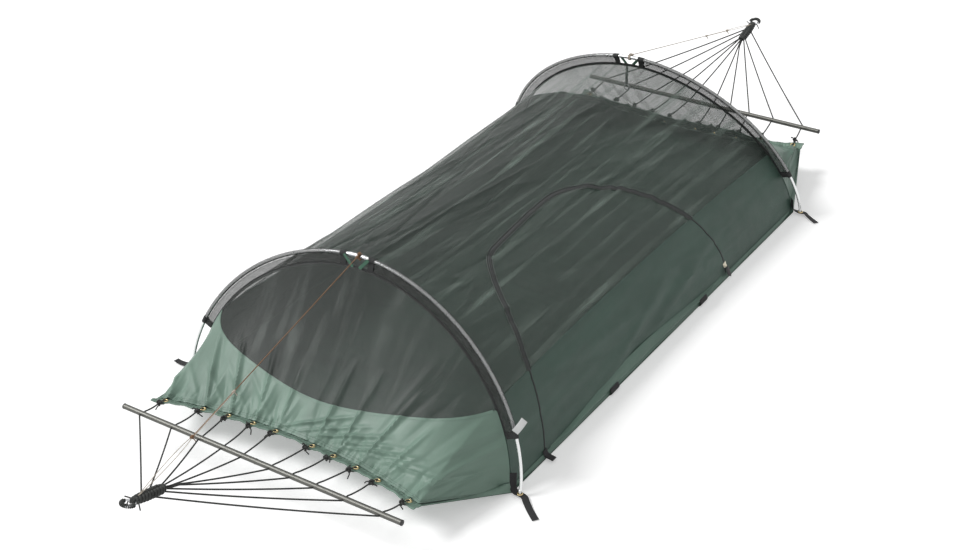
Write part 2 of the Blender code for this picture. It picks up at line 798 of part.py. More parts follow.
def end_seam_height(turn):
    """Height at which the end panel meets the end net, lowest in the middle."""
    return TUB_HEIGHT - END_SEAM_DROP - END_SEAM_SAG * math.sin(turn) ** END_SEAM_SAG_POWER


def share_for_height(end, turn, height):
    """How far down the end cloth it passes that height, or 0 where it starts below it."""
    if end_point(end, turn, 0.0, False)[2] <= height:
        return 0.0
    low, high = 0.0, 1.0
    for _ in range(40):
        middle = (low + high) / 2
        if end_point(end, turn, middle, False)[2] > height:
            low = middle
        else:
            high = middle
    return (low + high) / 2


def build_end(end, label):
    """Net and panel between an arch and its hem."""
    first = END_FIRST_TURN
    turns = np.linspace(first, math.pi - first, END_STEPS_WIDE + 1)

    def reach(turn):
        """Length of the end cloth at a turn, from the arch to the hem."""
        return np.linalg.norm(end_point(end, turn, 1.0, False) - end_point(end, turn, 0.0, False))

    rows = []
    for turn in turns:
        start = share_for_height(end, turn, end_seam_height(turn))
        start = start + SEAM_GAP / reach(turn) if start > 0 else 0.0
        rows.append([end_point(end, turn, share) for share in np.linspace(start, 1.0, PANEL_STEPS_HIGH + 1)])
    sheet("end_panel_" + label, rows, CLOTH, "light_cloth")

    tip_height = TUB_HEIGHT - END_SEAM_DROP + NET_TIP
    low = turn_at_height((tip_height - PIVOT_HEIGHT) / math.cos(ARCH_LEAN), SEAM_HEIGHT)
    rows = []
    for turn in [turn for turn in turns if low < turn < math.pi - low]:
        stop = share_for_height(end, turn, end_seam_height(turn)) - SEAM_GAP / reach(turn)
        rows.append([end_point(end, turn, share) for share in np.linspace(0.0, stop, NET_STEPS_HIGH + 1)])
    sheet("end_net_" + label, rows, NET, "net")


def hem_point(end, x, inset):
    """A point of the hem band's middle surface, that far in from its edge."""
    y = hem_y(x) - inset * math.cos(HEM_BAND_SLOPE)
    return np.array([x, end * y, HEM_CORNER_RISE - inset * math.sin(HEM_BAND_SLOPE)])


def hem_normal(end):
    """Upward normal of the hem band."""
    return np.array([0.0, -end * math.sin(HEM_BAND_SLOPE), math.cos(HEM_BAND_SLOPE)])


def hem_eyelet_places():
    """Places of a hem's ten eyelets across the bed, left to right."""
    return [-x for x in reversed(HEM_EYELET_PLACES)] + list(HEM_EYELET_PLACES)


def discs(name, places, axis, radius, half_height, sides):
    """Short cylinders on one axis, as one cutting or joining tool."""
    turn = Vector((0, 0, 1)).rotation_difference(Vector(axis)).to_matrix().to_4x4()
    bm = bmesh.new()
    for place in places:
        bmesh.ops.create_cone(
            bm,
            cap_ends=True,
            segments=sides,
            radius1=radius,
            radius2=radius,
            depth=2 * half_height,
            matrix=Matrix.Translation(Vector(place)) @ turn,
        )
    return hide_cutter(add_mesh(name, bm, None))


def build_hem(end, label):
    """The doubled band at the end of the bed with its ten eyelets."""
    half_width = HEM_CORNER_HALF_WIDTH + BED_HALF_WIDTH - SEAM_HALF_SPAN
    spots = hem_eyelet_places()
    rows = []
    for x in np.linspace(-half_width, half_width, HEM_BAND_STEPS + 1):
        nearest = min(abs(x - spot) for spot in spots)
        scallop = HEM_SCALLOP * math.cos(math.pi * min(nearest / (HEM_EYELET_RADIUS * 2), 1.0))
        rows.append([hem_point(end, x, -scallop), hem_point(end, x, HEM_BAND_WIDTH)])
    normals = np.tile(hem_normal(end), (len(rows), 2, 1))
    band = sheet("hem_band_" + label, rows, HEM_BAND_THICKNESS, "light_cloth", normals=normals)
    places = [hem_point(end, x, HEM_EYELET_INSET) for x in spots]
    half = HEM_BAND_THICKNESS / 2 + HEM_EYELET_PROUD
    normal = hem_normal(end)
    eyelets = discs("hem_eyelets_" + label, places, normal, HEM_EYELET_RADIUS, half, EYELET_SIDES)
    boolean(band, eyelets, "UNION")
    bores = discs("hem_bores_" + label, places, hem_normal(end), HEM_EYELET_BORE, half + OVERRUN, HOLE_SIDES)
    boolean(band, bores, "DIFFERENCE")


def tube(name, points, radii, sides, finish, parent=None, first=(0.0, 0.0, 1.0), hollow=None):
    """A round solid along points with a radius at each; hollow gives it a bore of that radius."""
    points = np.asarray(points, dtype=float)
    radii = np.broadcast_to(radii, len(points))
    tangents = np.gradient(points, axis=0)
    tangents /= np.linalg.norm(tangents, axis=1, keepdims=True)
    side = np.asarray(first, dtype=float)
    bm = bmesh.new()
    outer, inner = [], []
    for point, tangent, radius in zip(points, tangents, radii):
        side = side - tangent * (side @ tangent)
        side /= np.linalg.norm(side)
        up = np.cross(tangent, side)
        spokes = [a * side + b * up for a, b in circle(1.0, sides)]
        outer.append([bm.verts.new(point + radius * spoke) for spoke in spokes])
        if hollow:
            inner.append([bm.verts.new(point + hollow * spoke) for spoke in spokes])
    for rings in (outer, inner):
        for one, two in zip(rings, rings[1:]):
            for k in range(sides):
                m = (k + 1) % sides
                bm.faces.new((one[k], one[m], two[m], two[k]))
    for index in (0, -1):
        if not hollow:
            bm.faces.new(outer[index])
            continue
        for k in range(sides):
            m = (k + 1) % sides
            bm.faces.new((outer[index][k], outer[index][m], inner[index][m], inner[index][k]))
    return add_mesh(name, bm, finish, parent)


def ribbon(name, places, widths_along, width, finish, parent=None):
    """Flat webbing along places, its width lying along the direction given at each."""
    places = np.asarray(places, dtype=float)
    tangents = np.gradient(places, axis=0)
    frames = []
    for place, tangent, along in zip(places, tangents, widths_along):
        tangent = tangent / np.linalg.norm(tangent)
        along = np.asarray(along, dtype=float)
        along = along - tangent * (along @ tangent)
        along /= np.linalg.norm(along)
        frames.append((place, along, np.cross(tangent, along)))
    return sweep(name, frames, rectangle(width, WEBBING), finish, parent)


def top_place(end):
    """Middle of the bare stretch of pole at an arch's top."""
    return SLEEVE_TOP_PLACES[0] if end < 0 else SLEEVE_TOP_PLACES[1]


def sleeve_turns(end, side):
    """Turns of the sleeve's rings on one side, from its foot to the bare stretch at the top."""
    foot = turn_at_height(SLEEVE_FOOT, ARCH_HEIGHT)
    top = turn_at_place(top_place(end) + side * SLEEVE_TOP_GAP, ARCH_HALF_SPAN)
    foot = foot if side < 0 else math.pi - foot
    return list(even_turns(foot, top, ARCH_HALF_SPAN, ARCH_HEIGHT, SLEEVE_STEPS))


def pole_turns(end, side):
    """Turns of a pole half from above its tip to the middle of the ferrule."""
    small = turn_at_height(TIP_SHOULDER_RISE + TIP_SHOULDER_LENGTH + POLE_RADIUS, ARCH_HEIGHT)
    small = small if side < 0 else math.pi - small
    rings = sleeve_turns(end, side)
    edge = turn_at_place(top_place(end) + side * FERRULE_LENGTH / 2, ARCH_HALF_SPAN)
    middle = turn_at_place(top_place(end), ARCH_HALF_SPAN) + side * POLE_END_TURN
    return list(even_turns(small, rings[0], ARCH_HALF_SPAN, ARCH_HEIGHT, 3))[:-1] + rings + [edge, middle]


def nearest_seam_turn(turn):
    """Turn of the seam point that lies nearest to a point of the pole."""
    place = np.array(superellipse(turn, ARCH_HALF_SPAN, ARCH_HEIGHT))
    fine = np.linspace(max(turn - 0.2, 0.0), min(turn + 0.2, math.pi), 401)

    def distance(t):
        """How far the seam's point at a turn lies from the place."""
        return np.linalg.norm(np.array(superellipse(t, SEAM_HALF_SPAN, SEAM_HEIGHT)) - place)

    return min(fine, key=distance)


def build_poles(end, label, body):
    """Two pole halves that stand in eyelets and meet inside a ferrule."""
    tip = [share * TIP_BALL_RADIUS for share, _ in TIP_BALL_SHARES]
    tip += [TIP_NECK_SHARE * TIP_BALL_RADIUS, TIP_SHOULDER_RISE]
    radii = [share * TIP_BALL_RADIUS for _, share in TIP_BALL_SHARES] + [TIP_NECK_RADIUS, TIP_SHOULDER_RADIUS]
    for side, name in ((-1, "left"), (1, "right")):
        turns = pole_turns(end, side)
        points = [arch_point(end, side * ARCH_HALF_SPAN, rise) for rise in tip]
        points.append(arch_point(end, side * ARCH_HALF_SPAN, TIP_SHOULDER_RISE + TIP_SHOULDER_LENGTH))
        points += [arch_point(end, *superellipse(turn, ARCH_HALF_SPAN, ARCH_HEIGHT)) for turn in turns]
        sizes = radii + [TIP_SHOULDER_RADIUS] + [POLE_RADIUS] * len(turns)
        tube(f"pole_{label}_{name}", points, sizes, POLE_SIDES, "pole", body, first=arch_normal(end))
        place = arch_point(end, side * ARCH_HALF_SPAN, 0.0)
        profile = [
            (EYELET_BORE_RADIUS, -EYELET_HALF_HEIGHT),
            (EYELET_FLANGE_RADIUS, -EYELET_HALF_HEIGHT),
            (EYELET_FLANGE_RADIUS, -EYELET_HALF_HEIGHT + EYELET_FLANGE),
            (EYELET_BARREL_RADIUS, -EYELET_HALF_HEIGHT + EYELET_FLANGE),
            (EYELET_BARREL_RADIUS, EYELET_HALF_HEIGHT - EYELET_FLANGE),
            (EYELET_FLANGE_RADIUS, EYELET_HALF_HEIGHT - EYELET_FLANGE),
            (EYELET_FLANGE_RADIUS, EYELET_HALF_HEIGHT),
            (EYELET_BORE_RADIUS, EYELET_HALF_HEIGHT),
        ]
        lathe(f"foot_eyelet_{label}_{name}", profile, place, (0, 0, 1), EYELET_SIDES, "brass", body)
    reach = FERRULE_LENGTH / 2
    spots = (top_place(end) - reach, top_place(end), top_place(end) + reach)
    points = [pole_point(end, x) for x in spots]
    bore = POLE_RADIUS + GAP
    radius = bore + FERRULE_WALL
    tube(f"pole_{label}_ferrule", points, radius, EYELET_SIDES, "steel", body, arch_normal(end), hollow=bore)


def build_sleeves(end, label, body):
    """Mesh fins that carry the pole a hand's width outside the roof's seam."""
    bore = POLE_RADIUS + SLEEVE_EASE
    half = math.asin(FIN_THICKNESS / 2 / (bore + SLEEVE_WALL))
    for side, name in ((-1, "left"), (1, "right")):
        bm = bmesh.new()
        outers, inners = [], []
        for turn in sleeve_turns(end, side):
            place = np.array(superellipse(turn, ARCH_HALF_SPAN, ARCH_HEIGHT))
            nearest = np.array(superellipse(nearest_seam_turn(turn), SEAM_HALF_SPAN, SEAM_HEIGHT)) - place
            reach = np.linalg.norm(nearest) - SEAM_TAPE_WIDTH / 2 - GAP
            inward = nearest / np.linalg.norm(nearest)
            inward = arch_point(end, *inward) - arch_point(end, 0.0, 0.0)
            across = arch_normal(end)
            centre = arch_point(end, *place)
            angles = [half + (math.tau - 2 * half) * k / SLEEVE_SIDES for k in range(SLEEVE_SIDES + 1)]
            spokes = [math.cos(a) * inward + math.sin(a) * across for a in angles]
            outer = [centre + (bore + SLEEVE_WALL) * spoke for spoke in spokes]
            outer.append(centre + reach * inward - FIN_THICKNESS / 2 * across)
            outer.append(centre + reach * inward + FIN_THICKNESS / 2 * across)
            outers.append([bm.verts.new(p) for p in outer])
            inners.append([bm.verts.new(centre + bore * spoke) for spoke in spokes])
        for rings in (outers, inners):
            count = len(rings[0])
            for one, two in zip(rings, rings[1:]):
                for k in range(count):
                    m = (k + 1) % count
                    bm.faces.new((one[k], one[m], two[m], two[k]))
        for index in (0, -1):
            outer, inner = outers[index], inners[index]
            for k in range(SLEEVE_SIDES):
                bm.faces.new((outer[k], outer[k + 1], inner[k + 1], inner[k]))
            bm.faces.new((outer[SLEEVE_SIDES], outer[0], inner[0], inner[SLEEVE_SIDES]))
            bm.faces.new((outer[SLEEVE_SIDES], outer[-2], outer[-1], outer[0]))
        add_mesh(f"sleeve_{label}_{name}", bm, "sleeve_net", body)


def build_seam_tape(end, label, body):
    """The binding along the seam of roof, end net and sleeve."""
    first = turn_at_height(SEAM_TAPE_FOOT, SEAM_HEIGHT)
    left = [nearest_seam_turn(turn) for turn in sleeve_turns(end, -1)]
    right = [nearest_seam_turn(turn) for turn in sleeve_turns(end, 1)][::-1]
    turns = list(even_turns(first, left[0], SEAM_HALF_SPAN, SEAM_HEIGHT, 3))[:-1] + left
    turns += right + list(even_turns(right[-1], math.pi - first, SEAM_HALF_SPAN, SEAM_HEIGHT, 3))[1:]
    frames = arch_frames(end, SEAM_HALF_SPAN, SEAM_HEIGHT, turns)
    sweep(f"seam_tape_{label}", frames, rectangle(SEAM_TAPE_WIDTH, SEAM_TAPE_THICKNESS), "webbing", body)


def build_foot_straps(end, label):
    """Webbing from each lower corner down to the pole's eyelet and out to a loose tail."""
    for side, name in ((-1, "left"), (1, "right")):
        places = [(side * (ARCH_HALF_SPAN + x), end * (ARCH_Y + y), z) for x, y, z in FOOT_STRAP_ROUTE]
        along = [np.array([side * u, end * v, 0.0]) for u, v in FOOT_STRAP_TURN_SHARES]
        strap = ribbon(f"foot_strap_{label}_{name}", places, along, FOOT_STRAP_WIDTH, "webbing")
        place = arch_point(end, side * ARCH_HALF_SPAN, 0.0)
        hole = discs(f"foot_hole_{label}_{name}", [place], (0, 0, 1), EYELET_BARREL_RADIUS + GAP, OVERRUN, 12)
        boolean(strap, hole, "DIFFERENCE")


def build_bar(end, label):
    """A two-piece tube with ten cord holes, a spigot inside its joint and a plug in each end."""
    bore = BAR_RADIUS - BAR_WALL
    y = end * BAR_Y
    for side, name in ((-1, "left"), (1, "right")):
        profile = [
            (bore, GAP / 2),
            (BAR_RADIUS, GAP / 2),
            (BAR_RADIUS, BAR_HALF_LENGTH - CAP_LIP - GAP),
            (bore, BAR_HALF_LENGTH - CAP_LIP - GAP),
        ]
        half = lathe(f"bar_{label}_{name}", profile, (0, y, BAR_RISE), (side, 0, 0), BAR_SIDES, "bar")
        places = [(side * x, y, BAR_RISE) for x in BAR_HOLE_PLACES]
        reach = BAR_RADIUS + OVERRUN
        holes = discs(f"bar_holes_{label}_{name}", places, (0, 1, 0), BAR_HOLE_RADIUS, reach, HOLE_SIDES)
        boolean(half, holes, "DIFFERENCE")
        plug = bore - GAP
        profile = [
            (0.0, BAR_HALF_LENGTH - CAP_LENGTH),
            (plug * CAP_TIP_SHARE, BAR_HALF_LENGTH - CAP_LENGTH),
            (plug, BAR_HALF_LENGTH - CAP_LENGTH * CAP_TAPER_SHARE),
            (plug, BAR_HALF_LENGTH - CAP_LIP),
            (BAR_RADIUS, BAR_HALF_LENGTH - CAP_LIP),
            (BAR_RADIUS, BAR_HALF_LENGTH - CAP_LIP / 3),
            (BAR_RADIUS - CAP_LIP / 3, BAR_HALF_LENGTH),
            (0.0, BAR_HALF_LENGTH),
        ]
        place = (0, y, BAR_RISE)
        lathe(f"bar_cap_{label}_{name}", profile, place, (side, 0, 0), BAR_SIDES, "plastic", closed=False)
    reach = BAR_FERRULE_LENGTH / 2
    outer = bore - GAP
    profile = [(outer - BAR_WALL, -reach), (outer, -reach), (outer, reach), (outer - BAR_WALL, reach)]
    lathe(f"bar_spigot_{label}", profile, (0, y, BAR_RISE), (1, 0, 0), BAR_SIDES, "steel")


def clew_axis(share):
    """A point on the clew's axis, from its inner tip (0) to its eye (1), for the far end."""
    inner = np.array([0.0, CLEW_INNER_Y, CLEW_INNER_RISE])
    outer = np.array([0.0, CLEW_OUTER_Y, CLEW_OUTER_RISE])
    return inner * (1 - share) + outer * share


def cord_route(index, spot):
    """One cord's points and radii from under the hem through the bar to the clew, far end."""
    eyelet = hem_point(1, spot, HEM_EYELET_INSET)
    up = hem_normal(1)
    out = np.array([0.0, math.cos(HEM_BAND_SLOPE), math.sin(HEM_BAND_SLOPE)])
    side = -1 if spot < 0 else 1
    hole = side * BAR_HOLE_PLACES[HEM_EYELET_PLACES.index(abs(spot))]
    lean = (hole - spot) * (KNOT_STAND_OFF + HEM_EYELET_INSET) / (BAR_Y - eyelet[1])
    lip = HEM_BAND_THICKNESS / 2 + HEM_EYELET_PROUD + CORD_RADIUS + GAP
    knot = eyelet + out * (HEM_EYELET_INSET + KNOT_STAND_OFF) + up * KNOT_RISE + np.array([lean, 0, 0])
    knot_tangent = np.array([hole, BAR_Y, BAR_RISE]) - knot
    knot_tangent /= np.linalg.norm(knot_tangent)
    before = np.array([hole, BAR_Y - BAR_RADIUS - CORD_RADIUS, BAR_RISE])
    after = np.array([hole, BAR_Y + BAR_RADIUS + CORD_RADIUS, BAR_RISE])
    column = (index - 4.5) / 4.5
    row = CLEW_CORD_ROW if index % 2 else -CLEW_CORD_ROW
    target = clew_axis(CLEW_CORD_DEPTH_SHARE) + np.array([column * CLEW_CORD_SPREAD, 0.0, row])
    droop = np.array([0.0, 0.0, -CORD_DROOP])
    middle = after * (1 - CORD_DROOP_SHARE) + target * CORD_DROOP_SHARE + droop
    points = [
        eyelet - up * (lip + CORD_TAIL),
        eyelet - up * lip,
        eyelet + up * lip,
        eyelet + out * EYELET_BEND + up * (lip + CORD_RADIUS),
        knot - knot_tangent * KNOT_RADIUS,
        knot - knot_tangent * KNOT_RADIUS / 2,
        knot + knot_tangent * KNOT_RADIUS / 2,
        knot + knot_tangent * KNOT_RADIUS,
        before,
        after,
        middle,
        target,
    ]
    thick = CORD_RADIUS
    radii = [thick] * 5 + [KNOT_RADIUS * KNOT_WAIST_SHARE] * 2 + [thick] * 5
    return points, radii


def build_suspension(end, label):
    """Ten cords, plaited together into the clew, whose eye holds the ring."""
    neck_depth = CLEW_NECK_RADIUS * CLEW_NECK_DEPTH_SHARE
    neck = CLEW_SHAPE_SHARES[-1][1]
    frames = []
    axis = clew_axis(1.0) - clew_axis(0.0)
    axis /= np.linalg.norm(axis)
    up = np.cross((1.0, 0.0, 0.0), axis)
    for along, size in CLEW_SHAPE_SHARES:
        swell = (size - neck) / (1 - neck)
        wide = CLEW_NECK_RADIUS + (CLEW_HALF_WIDTH - CLEW_NECK_RADIUS) * swell
        deep = neck_depth + (CLEW_HALF_DEPTH - neck_depth) * swell
        frames.append((clew_axis(along), np.array([wide, 0, 0]), up * deep))
    flip = np.array([1.0, end, 1.0])
    frames = [(flip * p, flip * a, flip * b) for p, a, b in frames]
    clew = sweep(f"nettles_{label}", frames, circle(1.0, 12), "cord")
    cords = bmesh.new()
    for index, spot in enumerate(hem_eyelet_places()):
        points, radii = cord_route(index, spot)
        add_tube(cords, [flip * p for p in points], radii, CORD_SIDES)
    boolean(clew, hide_cutter(add_mesh(f"nettle_cords_{label}", cords, None)), "UNION")
    eye = EYE_CORD_RADIUS + RING_WIRE_RADIUS + RING_EASE
    centre = clew_axis(1.0) + axis * (eye - EYE_CORD_RADIUS / 2)
    loop = torus(f"clew_eye_{label}", flip * centre, (1, 0, 0), eye, EYE_CORD_RADIUS, 12, 6, None)
    boolean(clew, hide_cutter(loop), "UNION")
    ring_pivot = pivot(f"ring_pivot_{label}", flip * centre)
    middle = flip * (centre + axis * RING_RADIUS)
    normal = flip * up
    torus(f"ring_{label}", middle, normal, RING_RADIUS, RING_WIRE_RADIUS, RING_STEPS, 6, "steel", ring_pivot)


def add_tube(bm, points, radii, sides):
    """Adds one capped round tube to a bmesh."""
    points = np.asarray(points, dtype=float)
    tangents = np.gradient(points, axis=0)
    tangents /= np.linalg.norm(tangents, axis=1, keepdims=True)
    side = np.array([1.0, 0.0, 0.0])
    rings = []
    for point, tangent, radius in zip(points, tangents, radii):
        side = side - tangent * (side @ tangent)
        side /= np.linalg.norm(side)
        up = np.cross(tangent, side)
        rings.append([bm.verts.new(point + radius * (a * side + b * up)) for a, b in circle(1.0, sides)])
    for one, two in zip(rings, rings[1:]):
        for k in range(sides):
            m = (k + 1) % sides
            bm.faces.new((one[k], one[m], two[m], two[k]))
    bm.faces.new(rings[0])
    bm.faces.new(rings[-1][::-1])


def build_guyline(end, label):
    """A thin line from a turn round the arch's top, by way of an adjusting knot, to the clew."""
    top = pole_point(end, top_place(end) + GUY_OFFSET)
    reach = POLE_RADIUS + GAP + FERRULE_WALL + GUY_EASE + GUY_RADIUS
    points = []
    for k in range(GUY_WRAP_STEPS + 1):
        angle = math.radians(GUY_LEAVES_AT + 360 * (1 - k / GUY_WRAP_STEPS))
        drift = (k / GUY_WRAP_STEPS - 0.5) * GUY_WRAP_PITCH
        points.append(top + np.array([drift, end * reach * math.cos(angle), reach * math.sin(angle)]))
    flip = np.array([1.0, end, 1.0])
    rise = CLEW_HALF_DEPTH * GUY_END_RISE_SHARE + GUY_RADIUS + GAP
    low = flip * (clew_axis(GUY_END_SHARE) + np.array([0.0, 0.0, rise]))
    start = points[-1]
    radii = [GUY_RADIUS] * len(points)
    for share, radius in GUY_SHARES:
        points.append(start * (1 - share) + low * share)
        radii.append(GUY_KNOT_RADIUS if radius else GUY_RADIUS)
    tube(f"guyline_{label}", points, radii, 6, "guy_cord", first=(1.0, 0.0, 0.0))


def build_slider(frames):
    """The zip's slider near the bottom of the far leg, and its pull."""
    index = min(
        range(len(frames) // 2, len(frames)),
        key=lambda k: abs(frames[k][0][2] - SLIDER_HEIGHT),
    )
    place, away, normal = [(one + two) / 2 for one, two in zip(frames[index], frames[index + 1])]
    away /= np.linalg.norm(away)
    normal /= np.linalg.norm(normal)
    tangent = np.cross(normal, away)
    tangent *= 1 if tangent[2] > 0 else -1
    base = place + normal * (TAPE_THICKNESS / 2 + SEAM_GAP)
    shape = rectangle(SLIDER_WIDTH, SLIDER_THICKNESS / 2)
    centre = base + normal * SLIDER_THICKNESS / 4
    reach = tangent * SLIDER_LENGTH / 2
    slider_pivot = pivot("slider_pivot", place)
    ends = [(centre - reach, away * SLIDER_NOSE_SHARE, normal)]
    ends += [(centre - reach / 3, away, normal), (centre + reach, away, normal)]
    slider = sweep("zip_slider", ends, shape, "steel", slider_pivot)
    part = reach * SLIDER_POST_SHARE
    post = [(centre - part, away, normal), (centre + part, away, normal)]
    depth = TAPE_THICKNESS + SLIDER_THICKNESS / 2
    section = [(a, b - depth / 2) for a, b in rectangle(ZIP_SLOT - 2 * GAP, depth)]
    boolean(slider, hide_cutter(sweep("slider_post", post, section, None)), "UNION")
    eye = centre + normal * (SLIDER_THICKNESS / 4 + PULL_EYE_RADIUS)
    down = np.array([0.0, 0.0, -1.0])
    down -= normal * (down @ normal)
    down /= np.linalg.norm(down)
    across = np.cross(down, normal)
    bail = torus("slider_bail", eye, across, PULL_EYE_RADIUS, PULL_WIRE_RADIUS, 10, 6, None)
    boolean(slider, hide_cutter(bail), "UNION")
    pull_pivot = pivot("pull_pivot", eye)
    pull_pivot.parent = slider_pivot
    pull_pivot.matrix_parent_inverse = slider_pivot.matrix_world.inverted()
    link = eye + down * PULL_EYE_RADIUS
    pull = torus("zip_pull", link, normal, PULL_EYE_RADIUS, PULL_WIRE_RADIUS, 12, 6, "plastic", pull_pivot)
    top = eye + down * 2 * PULL_EYE_RADIUS
    tab = [(top, across * PULL_NECK_SHARE, normal), (top + down * PULL_LENGTH / 3, across, normal)]
    tab.append((top + down * PULL_LENGTH, across, normal))
    boolean(pull, hide_cutter(sweep("pull_tab", tab, rectangle(PULL_WIDTH, PULL_THICKNESS), None)), "UNION")


def build_zip_tab(frames):
    """A webbing end stop sewn below the near leg of the zip."""
    place, away, normal = frames[0]
    top = place + normal * (TAPE_THICKNESS / 2 + WEBBING / 2 + GAP)
    along = np.array([0.0, 1.0, 0.0])
    down = np.cross(along, normal)
    down *= 1 if down[2] < 0 else -1
    places = [top - down * ZIP_TAB_RISE, top, top + down * ZIP_TAB_RISE / 2]
    places.append(places[-1] + np.array([ZIP_TAB_LENGTH / 2, 0.0, 0.0]) * 0.5 + down * ZIP_TAB_RISE / 8)
    places.append(places[-1] + np.array([ZIP_TAB_LENGTH / 2, 0.0, 0.0]))
    ribbon("zip_end_tab", places, [along] * len(places), ZIP_TAB_WIDTH, "webbing")


def build_side_loops():
    """Two webbing loops sewn to the right-hand edge of the bed."""
    for y, name in zip(SIDE_LOOP_PLACES, ("near", "far")):
        base = BED_HALF_WIDTH + GAP
        rise = GAP * 3 + WEBBING / 2
        places = [
            (base, y, rise),
            (base + SIDE_LOOP_OUT / 2, y, rise + SIDE_LOOP_ARCH),
            (base + SIDE_LOOP_OUT, y, rise),
        ]
        ribbon(f"side_loop_{name}", places, [(0.0, 1.0, 0.0)] * 3, SIDE_LOOP_WIDTH, "webbing")


def build_gear_loop(arch_body):
    """A strap that hangs from the far arch's seam inside the roof, with a ring at its end."""
    turn = turn_at_place(GEAR_PLACE, SEAM_HALF_SPAN)
    top = arch_point(1, *superellipse(turn, SEAM_HALF_SPAN, SEAM_HEIGHT - SEAM_TAPE_WIDTH / 2 - GAP))
    top[2] -= WEBBING + SEAM_GAP
    swing = pivot("gear_pivot", top)
    swing.parent = arch_body
    swing.matrix_parent_inverse = arch_body.matrix_world.inverted()
    drops = [GEAR_STRAP_LENGTH * k / GEAR_STRAP_STEPS for k in range(GEAR_STRAP_STEPS + 1)]
    places = [top - np.array([0.0, 0.0, drop]) for drop in drops]
    strap = ribbon("gear_strap", places, [(1.0, 0.0, 0.0)] * 4, GEAR_STRAP_WIDTH, "webbing", swing)
    eye = places[-1] - np.array([0.0, 0.0, GEAR_EYE_RADIUS])
    loop = torus("gear_eye", eye, (1, 0, 0), GEAR_EYE_RADIUS, GEAR_EYE_WIRE, 10, 6, None)
    boolean(strap, hide_cutter(loop), "UNION")
    middle = eye - np.array([0.0, 0.0, GEAR_RING_RADIUS])
    torus("gear_ring", middle, (0, 1, 0), GEAR_RING_RADIUS, GEAR_RING_WIRE, RING_STEPS, 5, "steel", swing)


def main():
    """Builds the tent piece by piece."""
    clear_scene()
    build_bed()
    build_left_wall()
    door_x = roof_point(share_at((DOOR_NEAR_Y + DOOR_FAR_Y) / 2), math.pi)[0]
    door_pivot = pivot("door_pivot", (door_x, (DOOR_NEAR_Y + DOOR_FAR_Y) / 2, DOOR_HINGE_RISE))
    frames = build_roof_and_right_side(door_pivot)
    for end, label in ((-1, "near"), (1, "far")):
        build_end(end, label)
        build_hem(end, label)
        body = pivot(f"{label}_arch_pivot", arch_point(end, 0.0, 0.0))
        build_poles(end, label, body)
        build_sleeves(end, label, body)
        build_seam_tape(end, label, body)
        build_foot_straps(end, label)
        build_bar(end, label)
        build_suspension(end, label)
        build_guyline(end, label)
        if end > 0:
            build_gear_loop(body)
    build_slider(frames)
    build_zip_tab(frames)
    build_side_loops()


if __name__ == "__main__":
    main()
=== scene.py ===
"""Dresses the hammock tent: cloth, netting, zip, poles, bars, plaited cords and webbing.

Metres, +Z up, near end at -Y and door on +X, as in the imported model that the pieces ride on.
"""

import logging
import math
from dataclasses import dataclass, field
from enum import Enum
from typing import Callable, Iterable, Sequence

import bpy
import numpy as np
from mathutils import Matrix, Vector


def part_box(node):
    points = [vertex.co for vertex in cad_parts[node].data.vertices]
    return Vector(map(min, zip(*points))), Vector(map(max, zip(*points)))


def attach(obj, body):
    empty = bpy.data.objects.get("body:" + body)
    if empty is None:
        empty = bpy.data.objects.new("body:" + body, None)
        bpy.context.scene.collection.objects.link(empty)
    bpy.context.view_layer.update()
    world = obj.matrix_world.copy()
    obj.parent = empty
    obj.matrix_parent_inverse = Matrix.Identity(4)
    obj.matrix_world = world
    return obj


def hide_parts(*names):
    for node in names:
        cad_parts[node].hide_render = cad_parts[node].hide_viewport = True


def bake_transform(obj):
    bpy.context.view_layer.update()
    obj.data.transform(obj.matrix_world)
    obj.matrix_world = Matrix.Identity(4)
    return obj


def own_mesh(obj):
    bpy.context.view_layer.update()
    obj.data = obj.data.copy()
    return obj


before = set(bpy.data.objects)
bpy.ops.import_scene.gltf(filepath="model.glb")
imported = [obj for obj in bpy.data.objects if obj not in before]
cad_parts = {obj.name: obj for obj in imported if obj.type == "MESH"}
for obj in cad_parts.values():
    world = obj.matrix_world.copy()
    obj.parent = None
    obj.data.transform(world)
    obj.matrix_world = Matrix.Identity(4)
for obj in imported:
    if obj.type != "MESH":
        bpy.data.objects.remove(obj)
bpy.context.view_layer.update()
LOG = logging.getLogger("hammock_tent")
Array = np.ndarray
Object, Material, Socket = bpy.types.Object, bpy.types.Material, bpy.types.NodeSocket
SMALL = 1e-9
ACROSS, ALONG, UP = np.eye(3)


class End(Enum):
    """The two ends of the tent, by the sign of their Y."""

    NEAR = -1
    FAR = 1

    @property
    def label(self) -> str:
        """The end's word in piece and node names."""
        return self.name.lower()

    @property
    def flip(self) -> Array:
        """Turns a far-end point into this end's point."""
        return vec(1.0, float(self.value), 1.0)


class Side(Enum):
    """The two sides of the tent, by the sign of their X."""

    LEFT = -1
    RIGHT = 1

    @property
    def label(self) -> str:
        """The side's word in piece and node names."""
        return self.name.lower()


def vec(x: float, y: float, z: float) -> Array:
    """A point or a direction."""
    return np.array((x, y, z), dtype=float)


def unit(vectors: Array) -> Array:
    """Scales vectors to length one.

    Args:
        vectors: One vector, or any grid of them on the last axis.

    Returns:
        The same grid with unit vectors.
    """
    vectors = np.asarray(vectors, dtype=float)
    return vectors / np.maximum(np.linalg.norm(vectors, axis=-1, keepdims=True), SMALL)


def smooth(value: Array) -> Array:
    """An eased step from 0 at 0 to 1 at 1."""
    value = np.clip(value, 0.0, 1.0)
    return value * value * (3.0 - 2.0 * value)


